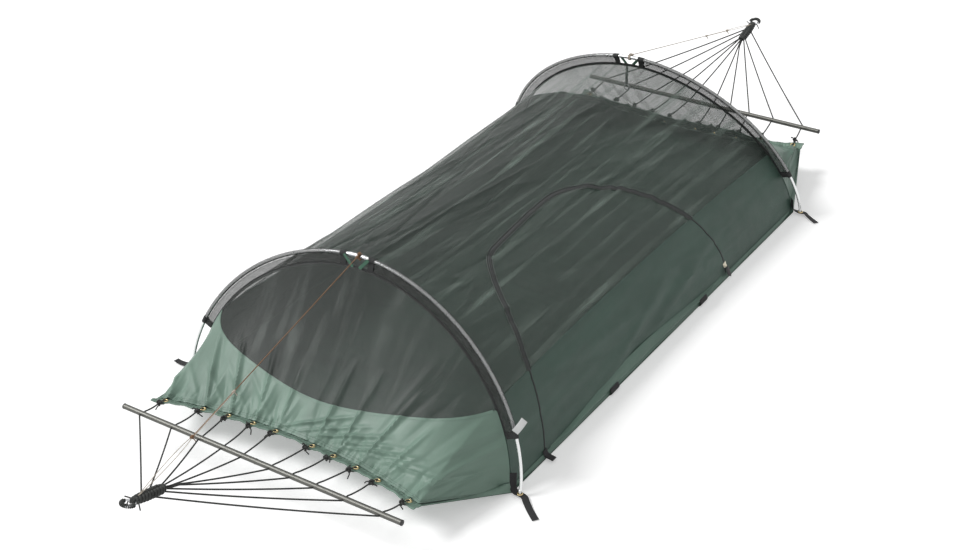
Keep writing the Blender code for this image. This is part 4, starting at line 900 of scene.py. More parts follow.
class RowTree(Wiring):
    """Geometry Nodes that repeat a small shape along lines, or at their points."""

    def __init__(self, motif: Motif) -> None:
        """Builds the tree for one motif."""
        super().__init__(bpy.data.node_groups.new(f"Row of {motif.value}", "GeometryNodeTree"))
        face = self.tree.interface
        face.new_socket("Lines", in_out="INPUT", socket_type="NodeSocketGeometry")
        kinds = (("Spacing", "Float"), ("Size", "Vector"), ("Finish", "Material"))
        self.inputs = {
            name: face.new_socket(name, in_out="INPUT", socket_type=f"NodeSocket{kind}").identifier
            for name, kind in kinds
        }
        face.new_socket("Row", in_out="OUTPUT", socket_type="NodeSocketGeometry")
        given = self.node("NodeGroupInput").outputs
        if motif is Motif.EYELET:
            points, along, shape = given["Lines"], (1.0, 0.0, 0.0), self.ring(given["Size"])
        else:
            curve = self.node("GeometryNodeMeshToCurve", Mesh=given["Lines"]).outputs["Curve"]
            length = {"mode": "LENGTH"}
            even = self.node("GeometryNodeResampleCurve", length, Curve=curve, Length=given["Spacing"])
            points, along = even.outputs["Curve"], self.node("GeometryNodeInputTangent").outputs["Tangent"]
            shape = self.bead(motif)
        lift = self.node("GeometryNodeInputNamedAttribute", {"data_type": "FLOAT_VECTOR"}, Name="lift")
        turn = self.node("FunctionNodeAlignRotationToVector", {"axis": "X"}, Vector=along)
        turn = self.node(
            "FunctionNodeAlignRotationToVector",
            {"axis": "Z", "pivot_axis": "X"},
            Rotation=turn.outputs["Rotation"],
            Vector=lift.outputs["Attribute"],
        )
        place = self.node(
            "GeometryNodeInstanceOnPoints", Points=points, Instance=shape, Rotation=turn.outputs["Rotation"]
        )
        if motif is not Motif.EYELET:
            self.feed(place.inputs["Scale"], given["Size"])
        real = self.node("GeometryNodeRealizeInstances", Geometry=place.outputs["Instances"])
        dress = self.node(
            "GeometryNodeSetMaterial", Geometry=real.outputs["Geometry"], Material=given["Finish"]
        )
        self.node("NodeGroupOutput", Row=dress.outputs["Geometry"])

    def bead(self, motif: Motif) -> Socket:
        """A unit stitch, or a unit zip tooth."""
        if motif is Motif.TOOTH:
            return self.node("GeometryNodeMeshCube", Size=(1.0, 1.0, 1.0)).outputs["Mesh"]
        return self.node("GeometryNodeMeshIcoSphere", Radius=0.5, Subdivisions=2).outputs["Mesh"]

    def ring(self, size: Socket) -> Socket:
        """A rolled metal ring: X is its radius and Y its wire."""
        split = self.node("ShaderNodeSeparateXYZ", Vector=size).outputs
        path, wire = (
            self.node(
                "GeometryNodeCurvePrimitiveCircle", Resolution=steps, Radius=split[axis]
            ).outputs["Curve"]
            for axis, steps in (("X", 28), ("Y", 10))
        )
        return self.node("GeometryNodeCurveToMesh", Curve=path, Profile_Curve=wire).outputs["Mesh"]

    def row(self, name: str, lines: Sequence[tuple[Array, Array]], kind: Row, finish: Material) -> Object:
        """Makes one plain mesh piece of rows along lines.

        Args:
            name: The piece's name.
            lines: Points and outward directions of each line.
            kind: Its spacing and size.
            finish: Its material.

        Returns:
            The piece.
        """
        data = bpy.data.meshes.new(f"{name}_lines")
        points = np.concatenate([line for line, _ in lines])
        edges, first = [], 0
        for line, _ in lines:
            edges += [(k, k + 1) for k in range(first, first + len(line) - 1)]
            first += len(line)
        data.from_pydata(points.tolist(), edges, [])
        lift = data.attributes.new("lift", "FLOAT_VECTOR", "POINT")
        ways = np.concatenate([np.broadcast_to(way, line.shape) for line, way in lines])
        lift.data.foreach_set("vector", ways.astype(np.float32).ravel())
        guide = bpy.data.objects.new(f"{name}_guide", data)
        bpy.context.scene.collection.objects.link(guide)
        modifier = guide.modifiers.new("Row", "NODES")
        modifier.node_group = self.tree
        for socket, value in zip(("Spacing", "Size", "Finish"), (*kind.value, finish)):
            modifier[self.inputs[socket]] = value
        graph = bpy.context.evaluated_depsgraph_get()
        mesh = bpy.data.meshes.new_from_object(guide.evaluated_get(graph))
        guide.modifiers.remove(modifier)
        bpy.data.objects.remove(guide)
        mesh.name = name
        if not mesh.materials:
            mesh.materials.append(finish)
        mesh.shade_smooth()
        obj = bpy.data.objects.new(name, mesh)
        bpy.context.scene.collection.objects.link(obj)
        return obj


class Graph(Wiring):
    """A material's node graph, built round one Principled BSDF."""

    def __init__(self, name: str, colour: Sequence[float], roughness: float, metallic: float = 0.0) -> None:
        """Starts the material with its plain values."""
        self.material = bpy.data.materials.new(name)
        self.material.use_nodes = True
        super().__init__(self.material.node_tree)
        self.shader = self.tree.nodes["Principled BSDF"]
        self.material.diffuse_color = (*colour, 1.0)
        self.set("Base Color", (*colour, 1.0))
        self.set("Roughness", roughness)
        self.set("Metallic", metallic)

    def set(self, name: str, value: object) -> None:
        """Gives the shader a constant or a link."""
        self.feed(self.shader.inputs[name], value)

    def math(self, operation: str, one: object, two: object) -> Socket:
        """Adds a Math node on two values or sockets."""
        node = self.node("ShaderNodeMath", {"operation": operation})
        for socket, value in zip(node.inputs, (one, two)):
            self.feed(socket, value)
        return node.outputs["Value"]

    def place(self, kind: str, stretch: Sequence[float] = (1, 1, 1), turn: float = 0.0) -> Socket:
        """Coordinates of a kind, stretched and turned about Z by a Mapping node."""
        source = self.node("ShaderNodeTexCoord").outputs[kind]
        placed = self.node(
            "ShaderNodeMapping", Vector=source, Scale=tuple(stretch), Rotation=(0.0, 0.0, turn)
        )
        return placed.outputs["Vector"]

    def noise(self, where: Socket, scale: float, detail: float = 3.0) -> Socket:
        """A Noise value."""
        return self.node("ShaderNodeTexNoise", Vector=where, Scale=scale, Detail=detail).outputs["Fac"]

    def bands(self, where: Socket, pitch: float, turned: bool = False) -> Socket:
        """Even bands a pitch apart, across X, or across Y when turned."""
        way = {"bands_direction": "Y" if turned else "X"}
        return self.node("ShaderNodeTexWave", way, Vector=where, Scale=math.pi / 10 / pitch).outputs["Fac"]

    def spread(self, value: Socket, low: float, high: float) -> Socket:
        """Maps 0 to 1 onto low to high."""
        return self.node("ShaderNodeMapRange", Value=value, To_Min=low, To_Max=high).outputs["Result"]

    def pick(self, value: Socket, start: float, stop: float) -> Socket:
        """Stretches the part of a value between start and stop over 0 to 1."""
        return self.node("ShaderNodeMapRange", Value=value, From_Min=start, From_Max=stop).outputs["Result"]

    def tint(self, value: Socket, one: Sequence[float], two: Sequence[float]) -> Socket:
        """A colour between two, by a value."""
        mix = self.node("ShaderNodeMix", {"data_type": "RGBA"}, Factor=value)
        colours = [socket for socket in mix.inputs if socket.type == "RGBA"]
        colours[0].default_value, colours[1].default_value = (*one, 1.0), (*two, 1.0)
        return next(socket for socket in mix.outputs if socket.type == "RGBA")

    def relief(self, heights: Sequence[tuple[Socket, float]]) -> None:
        """Adds bumps of heights in metres, one over the other."""
        normal = None
        for height, distance in heights:
            bump = self.node("ShaderNodeBump", Height=height, Strength=1.0, Distance=distance)
            if normal is not None:
                self.tree.links.new(normal, bump.inputs["Normal"])
            normal = bump.outputs["Normal"]
        self.set("Normal", normal)


def shade(colour: Sequence[float], factor: float) -> tuple[float, ...]:
    """A colour made darker or lighter."""
    return tuple(min(1.0, channel * factor) for channel in colour)


@dataclass(frozen=True)
class TaffetaFinish:
    """Coated nylon taffeta: plain weave, crinkled by packing, with a soft gloss."""

    name: str
    colour: tuple[float, float, float]
    roughness: float = 0.52
    thread: float = 0.0007
    crinkle: float = 0.0011
    sheen: float = 0.05

    def material(self) -> Material:
        """Builds the material."""
        graph = Graph(self.name, self.colour, self.roughness)
        flat = graph.place("UV")
        weave = graph.math("MULTIPLY", graph.bands(flat, self.thread), graph.bands(flat, self.thread, True))
        cloud = graph.noise(flat, 4.5, 4.0)
        crumple = graph.noise(flat, 21.0, 7.0)
        streak = graph.noise(graph.place("UV", (2.0, 15.0, 1.0)), 1.6, 5.0)
        tone = graph.math("ADD", graph.math("MULTIPLY", cloud, 0.5), graph.math("MULTIPLY", streak, 0.5))
        tone = graph.pick(tone, 0.30, 0.68)
        graph.set("Base Color", graph.tint(tone, shade(self.colour, 0.78), shade(self.colour, 1.24)))
        graph.set("Roughness", graph.spread(crumple, self.roughness - 0.08, self.roughness + 0.12))
        graph.set("Sheen Weight", self.sheen)
        graph.set("Sheen Roughness", 0.45)
        graph.relief([(crumple, self.crinkle), (streak, self.crinkle * 2), (weave, 0.00005)])
        return graph.material


@dataclass(frozen=True)
class NettingFinish:
    """Fine knitted insect netting, see-through, with painted highlights: pale streaks that follow its stretch
    pattern.
    """

    name: str
    colour: tuple[float, float, float]
    cover: float
    mesh: float = 0.0016
    roughness: float = 0.46
    pull: float = 15.0
    slant: float = 0.0
    # gleam sets how strong the painted highlight streaks are, and also scales the stretch bump.
    gleam: float = 1.0
    stretch: float = 2.6

    def material(self) -> Material:
        """Builds the material."""
        graph = Graph(self.name, self.colour, self.roughness)
        flat = graph.place("UV")
        slant, other = graph.place("UV", turn=math.radians(60)), graph.place("UV", turn=math.radians(-60))
        threads = graph.math("MAXIMUM", graph.bands(slant, self.mesh), graph.bands(other, self.mesh))
        cloud = graph.noise(flat, 5.0, 3.0)
        pulled = graph.noise(graph.place("UV", (1.0, self.pull, 1.0), self.slant), self.stretch, 5.0)
        crossed = graph.noise(
            graph.place("UV", (1.0, self.pull * 0.7, 1.0), self.slant + 0.22), self.stretch * 1.2, 4.0
        )
        # shine is a painted highlight: where the stretch noise peaks, the colour is lighter and the alpha
        # thicker.
        shine = graph.math("MULTIPLY", graph.pick(pulled, 0.50, 0.72), graph.pick(cloud, 0.30, 0.62))
        shine = graph.math("ADD", shine, graph.math("MULTIPLY", graph.pick(crossed, 0.58, 0.78), 0.5))
        graph.set(
            "Base Color",
            graph.tint(shine, shade(self.colour, 0.80), shade(self.colour, 0.80 + 2.4 * self.gleam)),
        )
        holes = graph.spread(threads, self.cover - 0.10, self.cover + 0.06)
        graph.set(
            "Alpha", graph.math("ADD", holes, graph.spread(shine, -0.03 * self.gleam, 0.30 * self.gleam))
        )
        graph.set("Roughness", graph.spread(pulled, self.roughness - 0.12, self.roughness + 0.12))
        graph.set("Sheen Weight", 0.20)
        graph.set("Sheen Roughness", 0.35)
        graph.relief([(pulled, 0.0034 * self.gleam), (crossed, 0.0014 * self.gleam), (threads, 0.0001)])
        return graph.material


@dataclass(frozen=True)
class WovenTapeFinish:
    """Narrow woven webbing or tape with ribs across and edges along."""

    name: str
    colour: tuple[float, float, float]
    rib: float = 0.0011
    roughness: float = 0.78

    def material(self) -> Material:
        """Builds the material."""
        graph = Graph(self.name, self.colour, self.roughness)
        flat = graph.place("UV")
        ribs = graph.bands(flat, self.rib, True)
        warp = graph.bands(flat, self.rib * 1.7)
        fuzz = graph.noise(flat, 900.0, 2.0)
        wear = graph.noise(flat, 22.0, 4.0)
        tone = graph.math("MULTIPLY", graph.math("MULTIPLY", ribs, warp), fuzz)
        tone = graph.math("ADD", graph.math("MULTIPLY", tone, 0.7), graph.math("MULTIPLY", wear, 0.5))
        graph.set("Base Color", graph.tint(tone, shade(self.colour, 0.70), shade(self.colour, 2.0)))
        graph.set("Roughness", graph.spread(fuzz, self.roughness - 0.06, self.roughness + 0.08))
        graph.relief([(ribs, 0.00016), (warp, 0.00009)])
        return graph.material


@dataclass(frozen=True)
class BraidFinish:
    """Braided cord: two sets of strands cross round it."""

    name: str
    colour: tuple[float, float, float]
    pitch: float = 0.0021
    roughness: float = 0.72

    def material(self) -> Material:
        """Builds the material."""
        graph = Graph(self.name, self.colour, self.roughness)
        left, right = graph.place("UV", turn=math.radians(38)), graph.place("UV", turn=math.radians(-38))
        strands = graph.math(
            "MAXIMUM", graph.bands(left, self.pitch, True), graph.bands(right, self.pitch, True)
        )
        fuzz = graph.noise(graph.place("UV"), 700.0, 2.0)
        tone = graph.math("MULTIPLY", strands, graph.spread(fuzz, 0.5, 1.0))
        graph.set("Base Color", graph.tint(tone, shade(self.colour, 0.55), shade(self.colour, 1.9)))
        graph.set("Roughness", graph.spread(fuzz, self.roughness - 0.05, self.roughness + 0.10))
        graph.relief([(strands, 0.00022)])
        return graph.material


@dataclass(frozen=True)
class TubeMetalFinish:
    """Drawn or anodised metal: fine lines along X, rubbed brighter in places."""

    name: str
    colour: tuple[float, float, float]
    roughness: float = 0.32
    grain: tuple[float, float, float] = (3.0, 60.0, 60.0)
    scuff: float = 0.6

    def material(self) -> Material:
        """Builds the material."""
        graph = Graph(self.name, self.colour, self.roughness, 1.0)
        lines = graph.noise(graph.place("Object", self.grain), 14.0, 5.0)
        rubbed = graph.noise(graph.place("Object"), 30.0, 6.0)
        tone = graph.math("ADD", graph.math("MULTIPLY", lines, 0.5), graph.math("MULTIPLY", rubbed, 0.5))
        low, high = shade(self.colour, 1.0 - self.scuff / 2), shade(self.colour, 1.0 + self.scuff / 2)
        graph.set("Base Color", graph.tint(tone, low, high))
        graph.set("Roughness", graph.spread(rubbed, self.roughness - 0.10, self.roughness + 0.15))
        graph.relief([(lines, 0.00006)])
        return graph.material


@dataclass(frozen=True)
class MouldedFinish:
    """Moulded plastic or rubber with a fine spark-eroded grain."""

    name: str
    colour: tuple[float, float, float]
    roughness: float = 0.48

    def material(self) -> Material:
        """Builds the material."""
        graph = Graph(self.name, self.colour, self.roughness)
        where = graph.place("Object")
        grain, rubbed = graph.noise(where, 1400.0, 2.0), graph.noise(where, 60.0, 4.0)
        graph.set("Base Color", graph.tint(rubbed, shade(self.colour, 0.75), shade(self.colour, 1.5)))
        graph.set("Roughness", graph.spread(rubbed, self.roughness - 0.10, self.roughness + 0.14))
        graph.relief([(grain, 0.00005)])
        return graph.material


@dataclass(frozen=True)
class FloorFinish:
    """A pale floor that keeps the tent's shadow, and shows white to the camera round it."""

    name: str = "studio_floor"
    white: float = 0.86
    glow: float = 0.36

    def material(self) -> Material:
        """Builds the material."""
        graph = Graph(self.name, (self.white,) * 3, 0.9)
        graph.set("Specular IOR Level", 0.0)
        graph.set("Emission Strength", graph.math("MULTIPLY", graph.seen(), self.glow))
        graph.set("Emission Color", (1.0, 1.0, 1.0, 1.0))
        return graph.material


class Finishes:
    """Every finish on the tent, made once."""

    def __init__(self) -> None:
        """Builds the materials."""
        self.side_cloth = TaffetaFinish("side_cloth", (0.027, 0.062, 0.045), 0.52, crinkle=0.0007).material()
        self.end_cloth = TaffetaFinish("end_cloth", (0.142, 0.222, 0.176), 0.46, crinkle=0.0009).material()
        # The far panel is the same cloth as the near one; this darker copy of it is painted shade.
        self.far_cloth = TaffetaFinish("far_cloth", (0.085, 0.150, 0.115), 0.48, crinkle=0.0009).material()
        self.bed_cloth = TaffetaFinish("bed_cloth", (0.052, 0.100, 0.074), 0.50).material()
        self.floor_edge = TaffetaFinish("floor_edge", (0.085, 0.150, 0.115), 0.50).material()
        self.canopy_net = NettingFinish(
            "canopy_net", (0.058, 0.076, 0.065), 0.37, pull=26.0, stretch=1.2
        ).material()
        self.end_net = NettingFinish(
            "end_net", (0.064, 0.073, 0.067), 0.31, pull=9.0, slant=1.25, gleam=0.60
        ).material()
        self.tunnel_net = NettingFinish("tunnel_net", (0.036, 0.038, 0.036), 0.27, gleam=0.0).material()
        self.sleeve_net = NettingFinish("sleeve_net", (0.046, 0.049, 0.046), 0.30, gleam=0.0).material()
        self.seam_tape = WovenTapeFinish("seam_tape", (0.016, 0.017, 0.017)).material()
        self.zip_tape = WovenTapeFinish("zip_tape_cloth", (0.020, 0.021, 0.022), rib=0.0008).material()
        self.piping = WovenTapeFinish("piping", (0.088, 0.096, 0.091), rib=0.0008).material()
        self.webbing = WovenTapeFinish("webbing", (0.014, 0.014, 0.015), rib=0.0016).material()
        self.green_tape = WovenTapeFinish("green_tape", (0.060, 0.140, 0.095)).material()
        self.tag = WovenTapeFinish("blank_tag", (0.93, 0.95, 0.94), rib=0.0006).material()
        self.thread = MouldedFinish("thread", (0.030, 0.055, 0.042), 0.65).material()
        self.pale_thread = MouldedFinish("pale_thread", (0.130, 0.210, 0.165), 0.65).material()
        self.cord = BraidFinish("cord", (0.018, 0.019, 0.018)).material()
        self.plait = BraidFinish("plait", (0.030, 0.032, 0.030)).material()
        self.guy_cord = BraidFinish("guy_cord", (0.175, 0.095, 0.050), pitch=0.0012).material()
        self.pale_guy = BraidFinish("pale_guy_cord", (0.42, 0.37, 0.31), pitch=0.0012).material()
        self.pole = TubeMetalFinish("pole_tube", (0.74, 0.75, 0.75), 0.26, (60.0, 60.0, 3.0), 0.2).material()
        self.bar = TubeMetalFinish("bar_tube", (0.130, 0.130, 0.120), 0.44).material()
        self.steel = TubeMetalFinish("steel", (0.52, 0.53, 0.54), 0.28, (30.0, 30.0, 30.0), 0.3).material()
        self.slider_metal = TubeMetalFinish(
            "slider_metal", (0.74, 0.70, 0.58), 0.34, (30.0, 30.0, 30.0), 0.2
        ).material()
        self.brass = TubeMetalFinish("brass", (0.68, 0.54, 0.30), 0.30, (30.0, 30.0, 30.0), 0.4).material()
        self.plastic = MouldedFinish("black_plastic", (0.012, 0.012, 0.013)).material()
        self.coil = MouldedFinish("zip_coil", (0.022, 0.023, 0.024), 0.40).material()


@dataclass
class Dresser:
    """Gives finished pieces their bodies, and counts and reports them."""

    pieces: list[str] = field(default_factory=list)

    def fit(
        self,
        piece: Object,
        body: str,
        slot: str,
        *nodes: str,
        follows: End | None = None,
        blend: tuple[float, float] = (0.20, 0.0),
    ) -> Object:
        """Makes a piece ride on a body, or bakes its transform into its mesh when it follows an arch, and
        hides the CAD nodes that it stands for.

        Args:
            piece: The finished piece.
            body: The body that it moves with.
            slot: Not used.
            nodes: CAD nodes that it replaces.
            follows: An arch; when given, the piece gets no body and its transform is baked into its mesh.
            blend: Not used.

        Returns:
            The piece.
        """
        if follows is None:
            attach(piece, body)
        else:
            foot = SHAPE.arch_point(follows, 0.0, 0.0)
            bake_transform(piece)
        if nodes:
            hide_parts(*nodes)
        self.pieces.append(piece.name)
        LOG.info("%s rides on %s, %d faces", piece.name, body, len(piece.data.polygons))
        return piece

    @staticmethod
    def collapse(piece: Object) -> Object:
        """Gives the piece its own copy of its mesh data."""
        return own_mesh(piece)


@dataclass
class Bed:
    """The sheet that carries the sleeper, with the turned edge below each wall."""

    finishes: Finishes
    skirt: tuple[float, float] = (0.0150, 0.0500)

    def surface(self) -> tuple[Array, Array]:
        """The bed's middle surface and its flat coordinates."""
        across = np.linspace(-1, 1, 61)
        rising = np.linspace(1, 0, 22)
        near = SHAPE.bed(End.NEAR, across[None, :], rising[:, None])
        far = SHAPE.bed(End.FAR, across[None, :], rising[::-1, None])
        y = np.linspace(-SHAPE.arch_y, SHAPE.arch_y, 50)[1:-1, None]
        level = np.broadcast_arrays(across * SHAPE.bed_half_width, y, SHAPE.bed_thickness / 2)
        points = np.concatenate([near, np.stack(level, axis=-1), far])
        folds = Creases(Creases.long_ones(26, (-0.8, 0.8, -0.48, 0.48), 5, 0.0016))
        inside = smooth((SHAPE.bed_half_width - np.abs(points[..., 0])) / 0.08)
        ripple = np.abs(folds.lift(points[..., 1], points[..., 0])) * inside
        points[..., 2] += ripple * (np.abs(points[..., 1]) < SHAPE.arch_y)
        return points, points[..., [0, 1]]

    def edge(self, side: Side, span: tuple[float, float], height: tuple[Array, Array], bulge: float) -> Draft:
        """A lighter strip along the foot of a wall, where the floor cloth turns up to it.

        Args:
            side: Which wall.
            span: Its first and last place along the tent.
            height: Its lowest and highest height, each one number or one for each of 140 places.
            bulge: How far it stands out.

        Returns:
            The strip.
        """
        y = np.linspace(*span, 140)
        share = SHAPE.share_at(y)
        ends = smooth((y - span[0]) / 0.10) * smooth((span[1] - y) / 0.10)
        uneven = 1.0 + 0.18 * np.sin(9.0 * y) + 0.10 * np.sin(31.0 * y + 1.0)
        rows = []
        for t in np.linspace(0.0, 1.0, 9):
            rise = height[0] * (1 - t) + height[1] * t + 0.0 * y
            foot = SHAPE.canopy(share, SHAPE.turn_for_height(share, np.maximum(rise, 0.0095)))[:, 0]
            out = bulge * ends * uneven * math.sin(math.pi * (0.15 + 0.85 * t)) ** 0.8 + 0.0014
            rows.append(np.stack([side.value * (foot + out), y, rise], axis=-1))
        points = np.array(rows)
        flat = np.stack([points[..., 1], points[..., 2]], axis=-1)
        return Draft().cloth(points, flat, GAUGE.light)

    def build(self, dress: Dresser) -> None:
        """Makes the bed's pieces."""
        points, flat = self.surface()
        bed = Draft().cloth(points, flat, GAUGE.bed).piece("bed", self.finishes.bed_cloth)
        dress.fit(bed, "tent", "dark_cloth", "bed_floor")
        for side in Side:
            edge = self.edge(side, (-0.845, 0.845), (0.0016, 0.0158), 0.0050)
            dress.fit(edge.piece(f"floor_edge_{side.label}", self.finishes.floor_edge), "tent", "dark_cloth")
        span = (SHAPE.door_near_y + 0.030, SHAPE.door_far_y - 0.030)
        y = np.linspace(*span, 140)
        swell = smooth((y - span[0]) / 0.42) * smooth((span[1] - y) / 0.55)
        low, high = self.skirt
        top = low + (high - low) * (0.12 + 0.88 * swell)
        skirt = self.edge(Side.RIGHT, span, (low, top), 0.0075)
        skirt.tube(self.crease(span, top), 0.0011, 6)
        dress.collapse(dress.fit(skirt.piece("door_skirt", self.finishes.floor_edge), "door", "dark_cloth"))

    @staticmethod
    def crease(span: tuple[float, float], height: Array) -> Array:
        """The line on the right wall just above a strip of that height."""
        y = np.linspace(*span, len(height))
        share = SHAPE.share_at(y)
        places = SHAPE.canopy(share, SHAPE.turn_for_height(share, height + 0.0006))
        return places + vec(0.0012, 0.0, 0.0)


@dataclass
class Canopy:
    """Netting roof and cloth walls between the arches, with the door that the zip cuts out."""

    finishes: Finishes
    tape: float = 0.0085
    gap: float = 0.0018
    wall_steps: int = 26
    scattered: tuple = (
        (30, (-0.80, 0.70, -0.52, 0.50), 11, 0.0075),
        (34, (-0.80, 0.84, -0.40, 0.40), 23, 0.0050),
        (30, (-0.70, 0.70, 0.55, 0.74), 37, 0.0038),
        (16, (-0.70, 0.70, -0.74, -0.55), 41, 0.0034),
    )
    fans: tuple = (
        ((-0.620, 0.24), (150, 164, 177, 189, 201, 214), 0.20, 0.011, 0.0050),
        ((-0.640, 0.30), (95, 112, 245, 262), 0.13, 0.009, 0.0030),
        ((0.86, 0.38), (182, 188, 194, 201, 209), 0.62, 0.019, 0.0062),
        ((0.86, 0.05), (181, 187, 194), 0.80, 0.022, 0.0060),
        ((0.30, 0.28), (186, 192, 198), 0.50, 0.017, 0.0055),
        ((-0.855, -0.05), (-34, -20, -7, 7, 21, 35), 0.32, 0.013, 0.0040),
        ((0.855, 0.0), (150, 170, 190, 210), 0.30, 0.016, 0.0030),
    )
    broad: tuple = (0.0060, -0.0048, 0.0060)
    folds: Creases = field(init=False)

    def __post_init__(self) -> None:
        """Lays out the folds: scattered, three broad ones on the wall, and fans from where it is held."""
        folds = [fold for row in self.scattered for fold in Creases.long_ones(*row)]
        for k, height in enumerate(self.broad):
            start, stop = (-0.40 + 0.16 * k, 0.735 - 0.010 * k), (0.08 + 0.13 * k, 0.600 + 0.012 * k)
            folds.append(Crease(start, stop, (0.016, 0.026), height))
        for row in self.fans:
            folds += Creases.fan(*row)
        self.folds = Creases(folds)

    def lift(self, share: Array, turn: Array) -> Array:
        """How far the cloth stands out of its unfolded surface."""
        share, turn = np.broadcast_arrays(np.asarray(share, dtype=float), turn)
        y = (2 * share - 1) * (SHAPE.arch_y - SHAPE.roof_inset)
        across = SHAPE.around(turn)
        held = smooth(share / 0.045) * smooth((1 - share) / 0.045)
        foot = smooth((0.80 - np.abs(across)) / 0.09) * (1 - 0.45 * smooth((share - 0.70) / 0.20))
        waves = np.sin(17.0 * across + 1.9 * np.sin(math.pi * share))
        drift = 0.0022 * waves * smooth((0.50 - np.abs(across)) / 0.1)
        return (self.folds.lift(y, across) + drift) * held * foot

    def surface(self, share: Array, turn: Array) -> Array:
        """Points of the folded cloth."""
        share, turn = np.broadcast_arrays(np.asarray(share, dtype=float), turn)
        normal = SHAPE.canopy_normal(share, turn)
        return SHAPE.canopy(share, turn) + normal * self.lift(share, turn)[..., None]

    def grid(self, share: Array, low: Array, high: Array, steps: int) -> tuple[Array, Array, Array]:
        """A grid of cloth between two turns at each share.

        Args:
            share: Places along the tent.
            low: First turn at each.
            high: Last turn at each.
            steps: Steps between them.

        Returns:
            Points, flat coordinates, and distance outside the zip's line.
        """
        part = np.linspace(0.0, 1.0, steps + 1)[None, :]
        turn = low[:, None] * (1 - part) + high[:, None] * part
        share = np.broadcast_to(share[:, None], turn.shape)
        points = self.surface(share, turn)
        base = SHAPE.canopy(share, turn)
        flat = np.stack([base[..., 1], SHAPE.around(turn)], axis=-1)
        return points, flat, self.outside(base, share)

    def outside(self, base: Array, share: Array) -> Array:
        """Distance of unfolded points from the zip's line, negative within the door."""
        along = (2 * share.reshape(-1) - 1) * (SHAPE.arch_y - SHAPE.roof_inset)
        line = SHAPE.door_line(181)
        share = SHAPE.share_at(line[:, 0])
        zip_places = SHAPE.canopy(share, SHAPE.turn_for_height(share, line[:, 1]))
        flat = base.reshape(-1, 3)
        near = np.full(len(flat), np.inf)
        for one, two in zip(zip_places[:-1], zip_places[1:]):
            way = two - one
            t = np.clip((flat - one) @ way / (way @ way), 0, 1)[:, None]
            near = np.minimum(near, np.linalg.norm(flat - one - t * way, axis=1))
        inner = (flat[:, 0] > 0) & (flat[:, 2] < SHAPE.door_edge(along))
        return np.where(inner, -near, near).reshape(base.shape[:2])

    def wall(self, side: Side, share: Array) -> tuple[Array, Array, Array]:
        """A grid of wall from the bed to the netting's seam."""
        top = SHAPE.turn_for_height(share, SHAPE.tub_height)
        foot = np.full(share.shape, math.pi - 0.0005)
        if side is Side.LEFT:
            top, foot = math.pi - top, math.pi - foot
        return self.grid(share, foot, top, self.wall_steps)

    def seam_line(self, side: Side, low: float, high: float, count: int) -> tuple[Array, Array]:
        """Points and normals of the seam of wall and netting between two places along the tent."""
        share = SHAPE.share_at(np.linspace(low, high, count))
        turn = SHAPE.turn_for_height(share, SHAPE.tub_height)
        turn = turn if side is Side.RIGHT else math.pi - turn
        return self.surface(share, turn), SHAPE.canopy_normal(share, turn)

    def build(self, dress: Dresser, stitches: RowTree) -> None:
        """Makes roof, walls, door and their seams."""
        edge, hem = self.gap / 2 + self.tape * 0.45, self.gap / 2 + 0.0021
        share = np.linspace(0.0, 1.0, 151)
        top = SHAPE.turn_for_height(share, SHAPE.tub_height)
        points, flat, outside = self.grid(share, math.pi - top, top, 230)
        draft = Draft().cloth(points, flat, GAUGE.netting, outside - edge)
        roof = draft.piece("canopy_roof", self.finishes.canopy_net)
        dress.fit(roof, "tent", "netting", "roof_net")
        dress.collapse(roof)

        points, flat, _ = self.wall(Side.LEFT, share)
        wall = Draft().cloth(points, flat, GAUGE.wall).piece("wall_left", self.finishes.side_cloth)
        dress.fit(wall, "tent", "dark_cloth", "side_wall_left")
        dress.collapse(wall)

        for name, low, high, node, size, area in (
            ("wall_right_near", -SHAPE.arch_y, -0.60, "side_wall_right_near", (0.19, 0.22), 0.034),
            ("wall_right_far", 0.20, SHAPE.arch_y, "side_wall_right_far", (0.54, 0.23), 0.115),
        ):
            limits = np.clip(SHAPE.share_at(np.array([low, high])), 0.0, 1.0)
            points, flat, outside = self.wall(Side.RIGHT, np.linspace(*limits, 71))
            draft = Draft().cloth(points, flat, GAUGE.wall, outside - hem)
            wall = draft.piece(name, self.finishes.side_cloth)
            dress.fit(wall, "tent", "dark_cloth", node)
            dress.collapse(wall)

        door_share = SHAPE.share_at(np.linspace(SHAPE.door_near_y, SHAPE.door_far_y, 141))
        points, flat, outside = self.wall(Side.RIGHT, door_share)
        draft = Draft().cloth(points, flat, GAUGE.wall, -outside - hem)
        panel = draft.piece("door_cloth", self.finishes.side_cloth)
        dress.fit(panel, "door", "dark_cloth", "door_panel")
        dress.collapse(panel)
        low = SHAPE.turn_for_height(door_share, SHAPE.tub_height)
        high = SHAPE.turn_for_height(door_share, SHAPE.door_top)
        points, flat, outside = self.grid(door_share, high, low, 70)
        draft = Draft().cloth(points, flat, GAUGE.netting, -outside - edge)
        net = draft.piece("door_netting", self.finishes.canopy_net)
        dress.fit(net, "door", "netting", "door_net")
        dress.collapse(net)
        self.seams(dress, stitches)

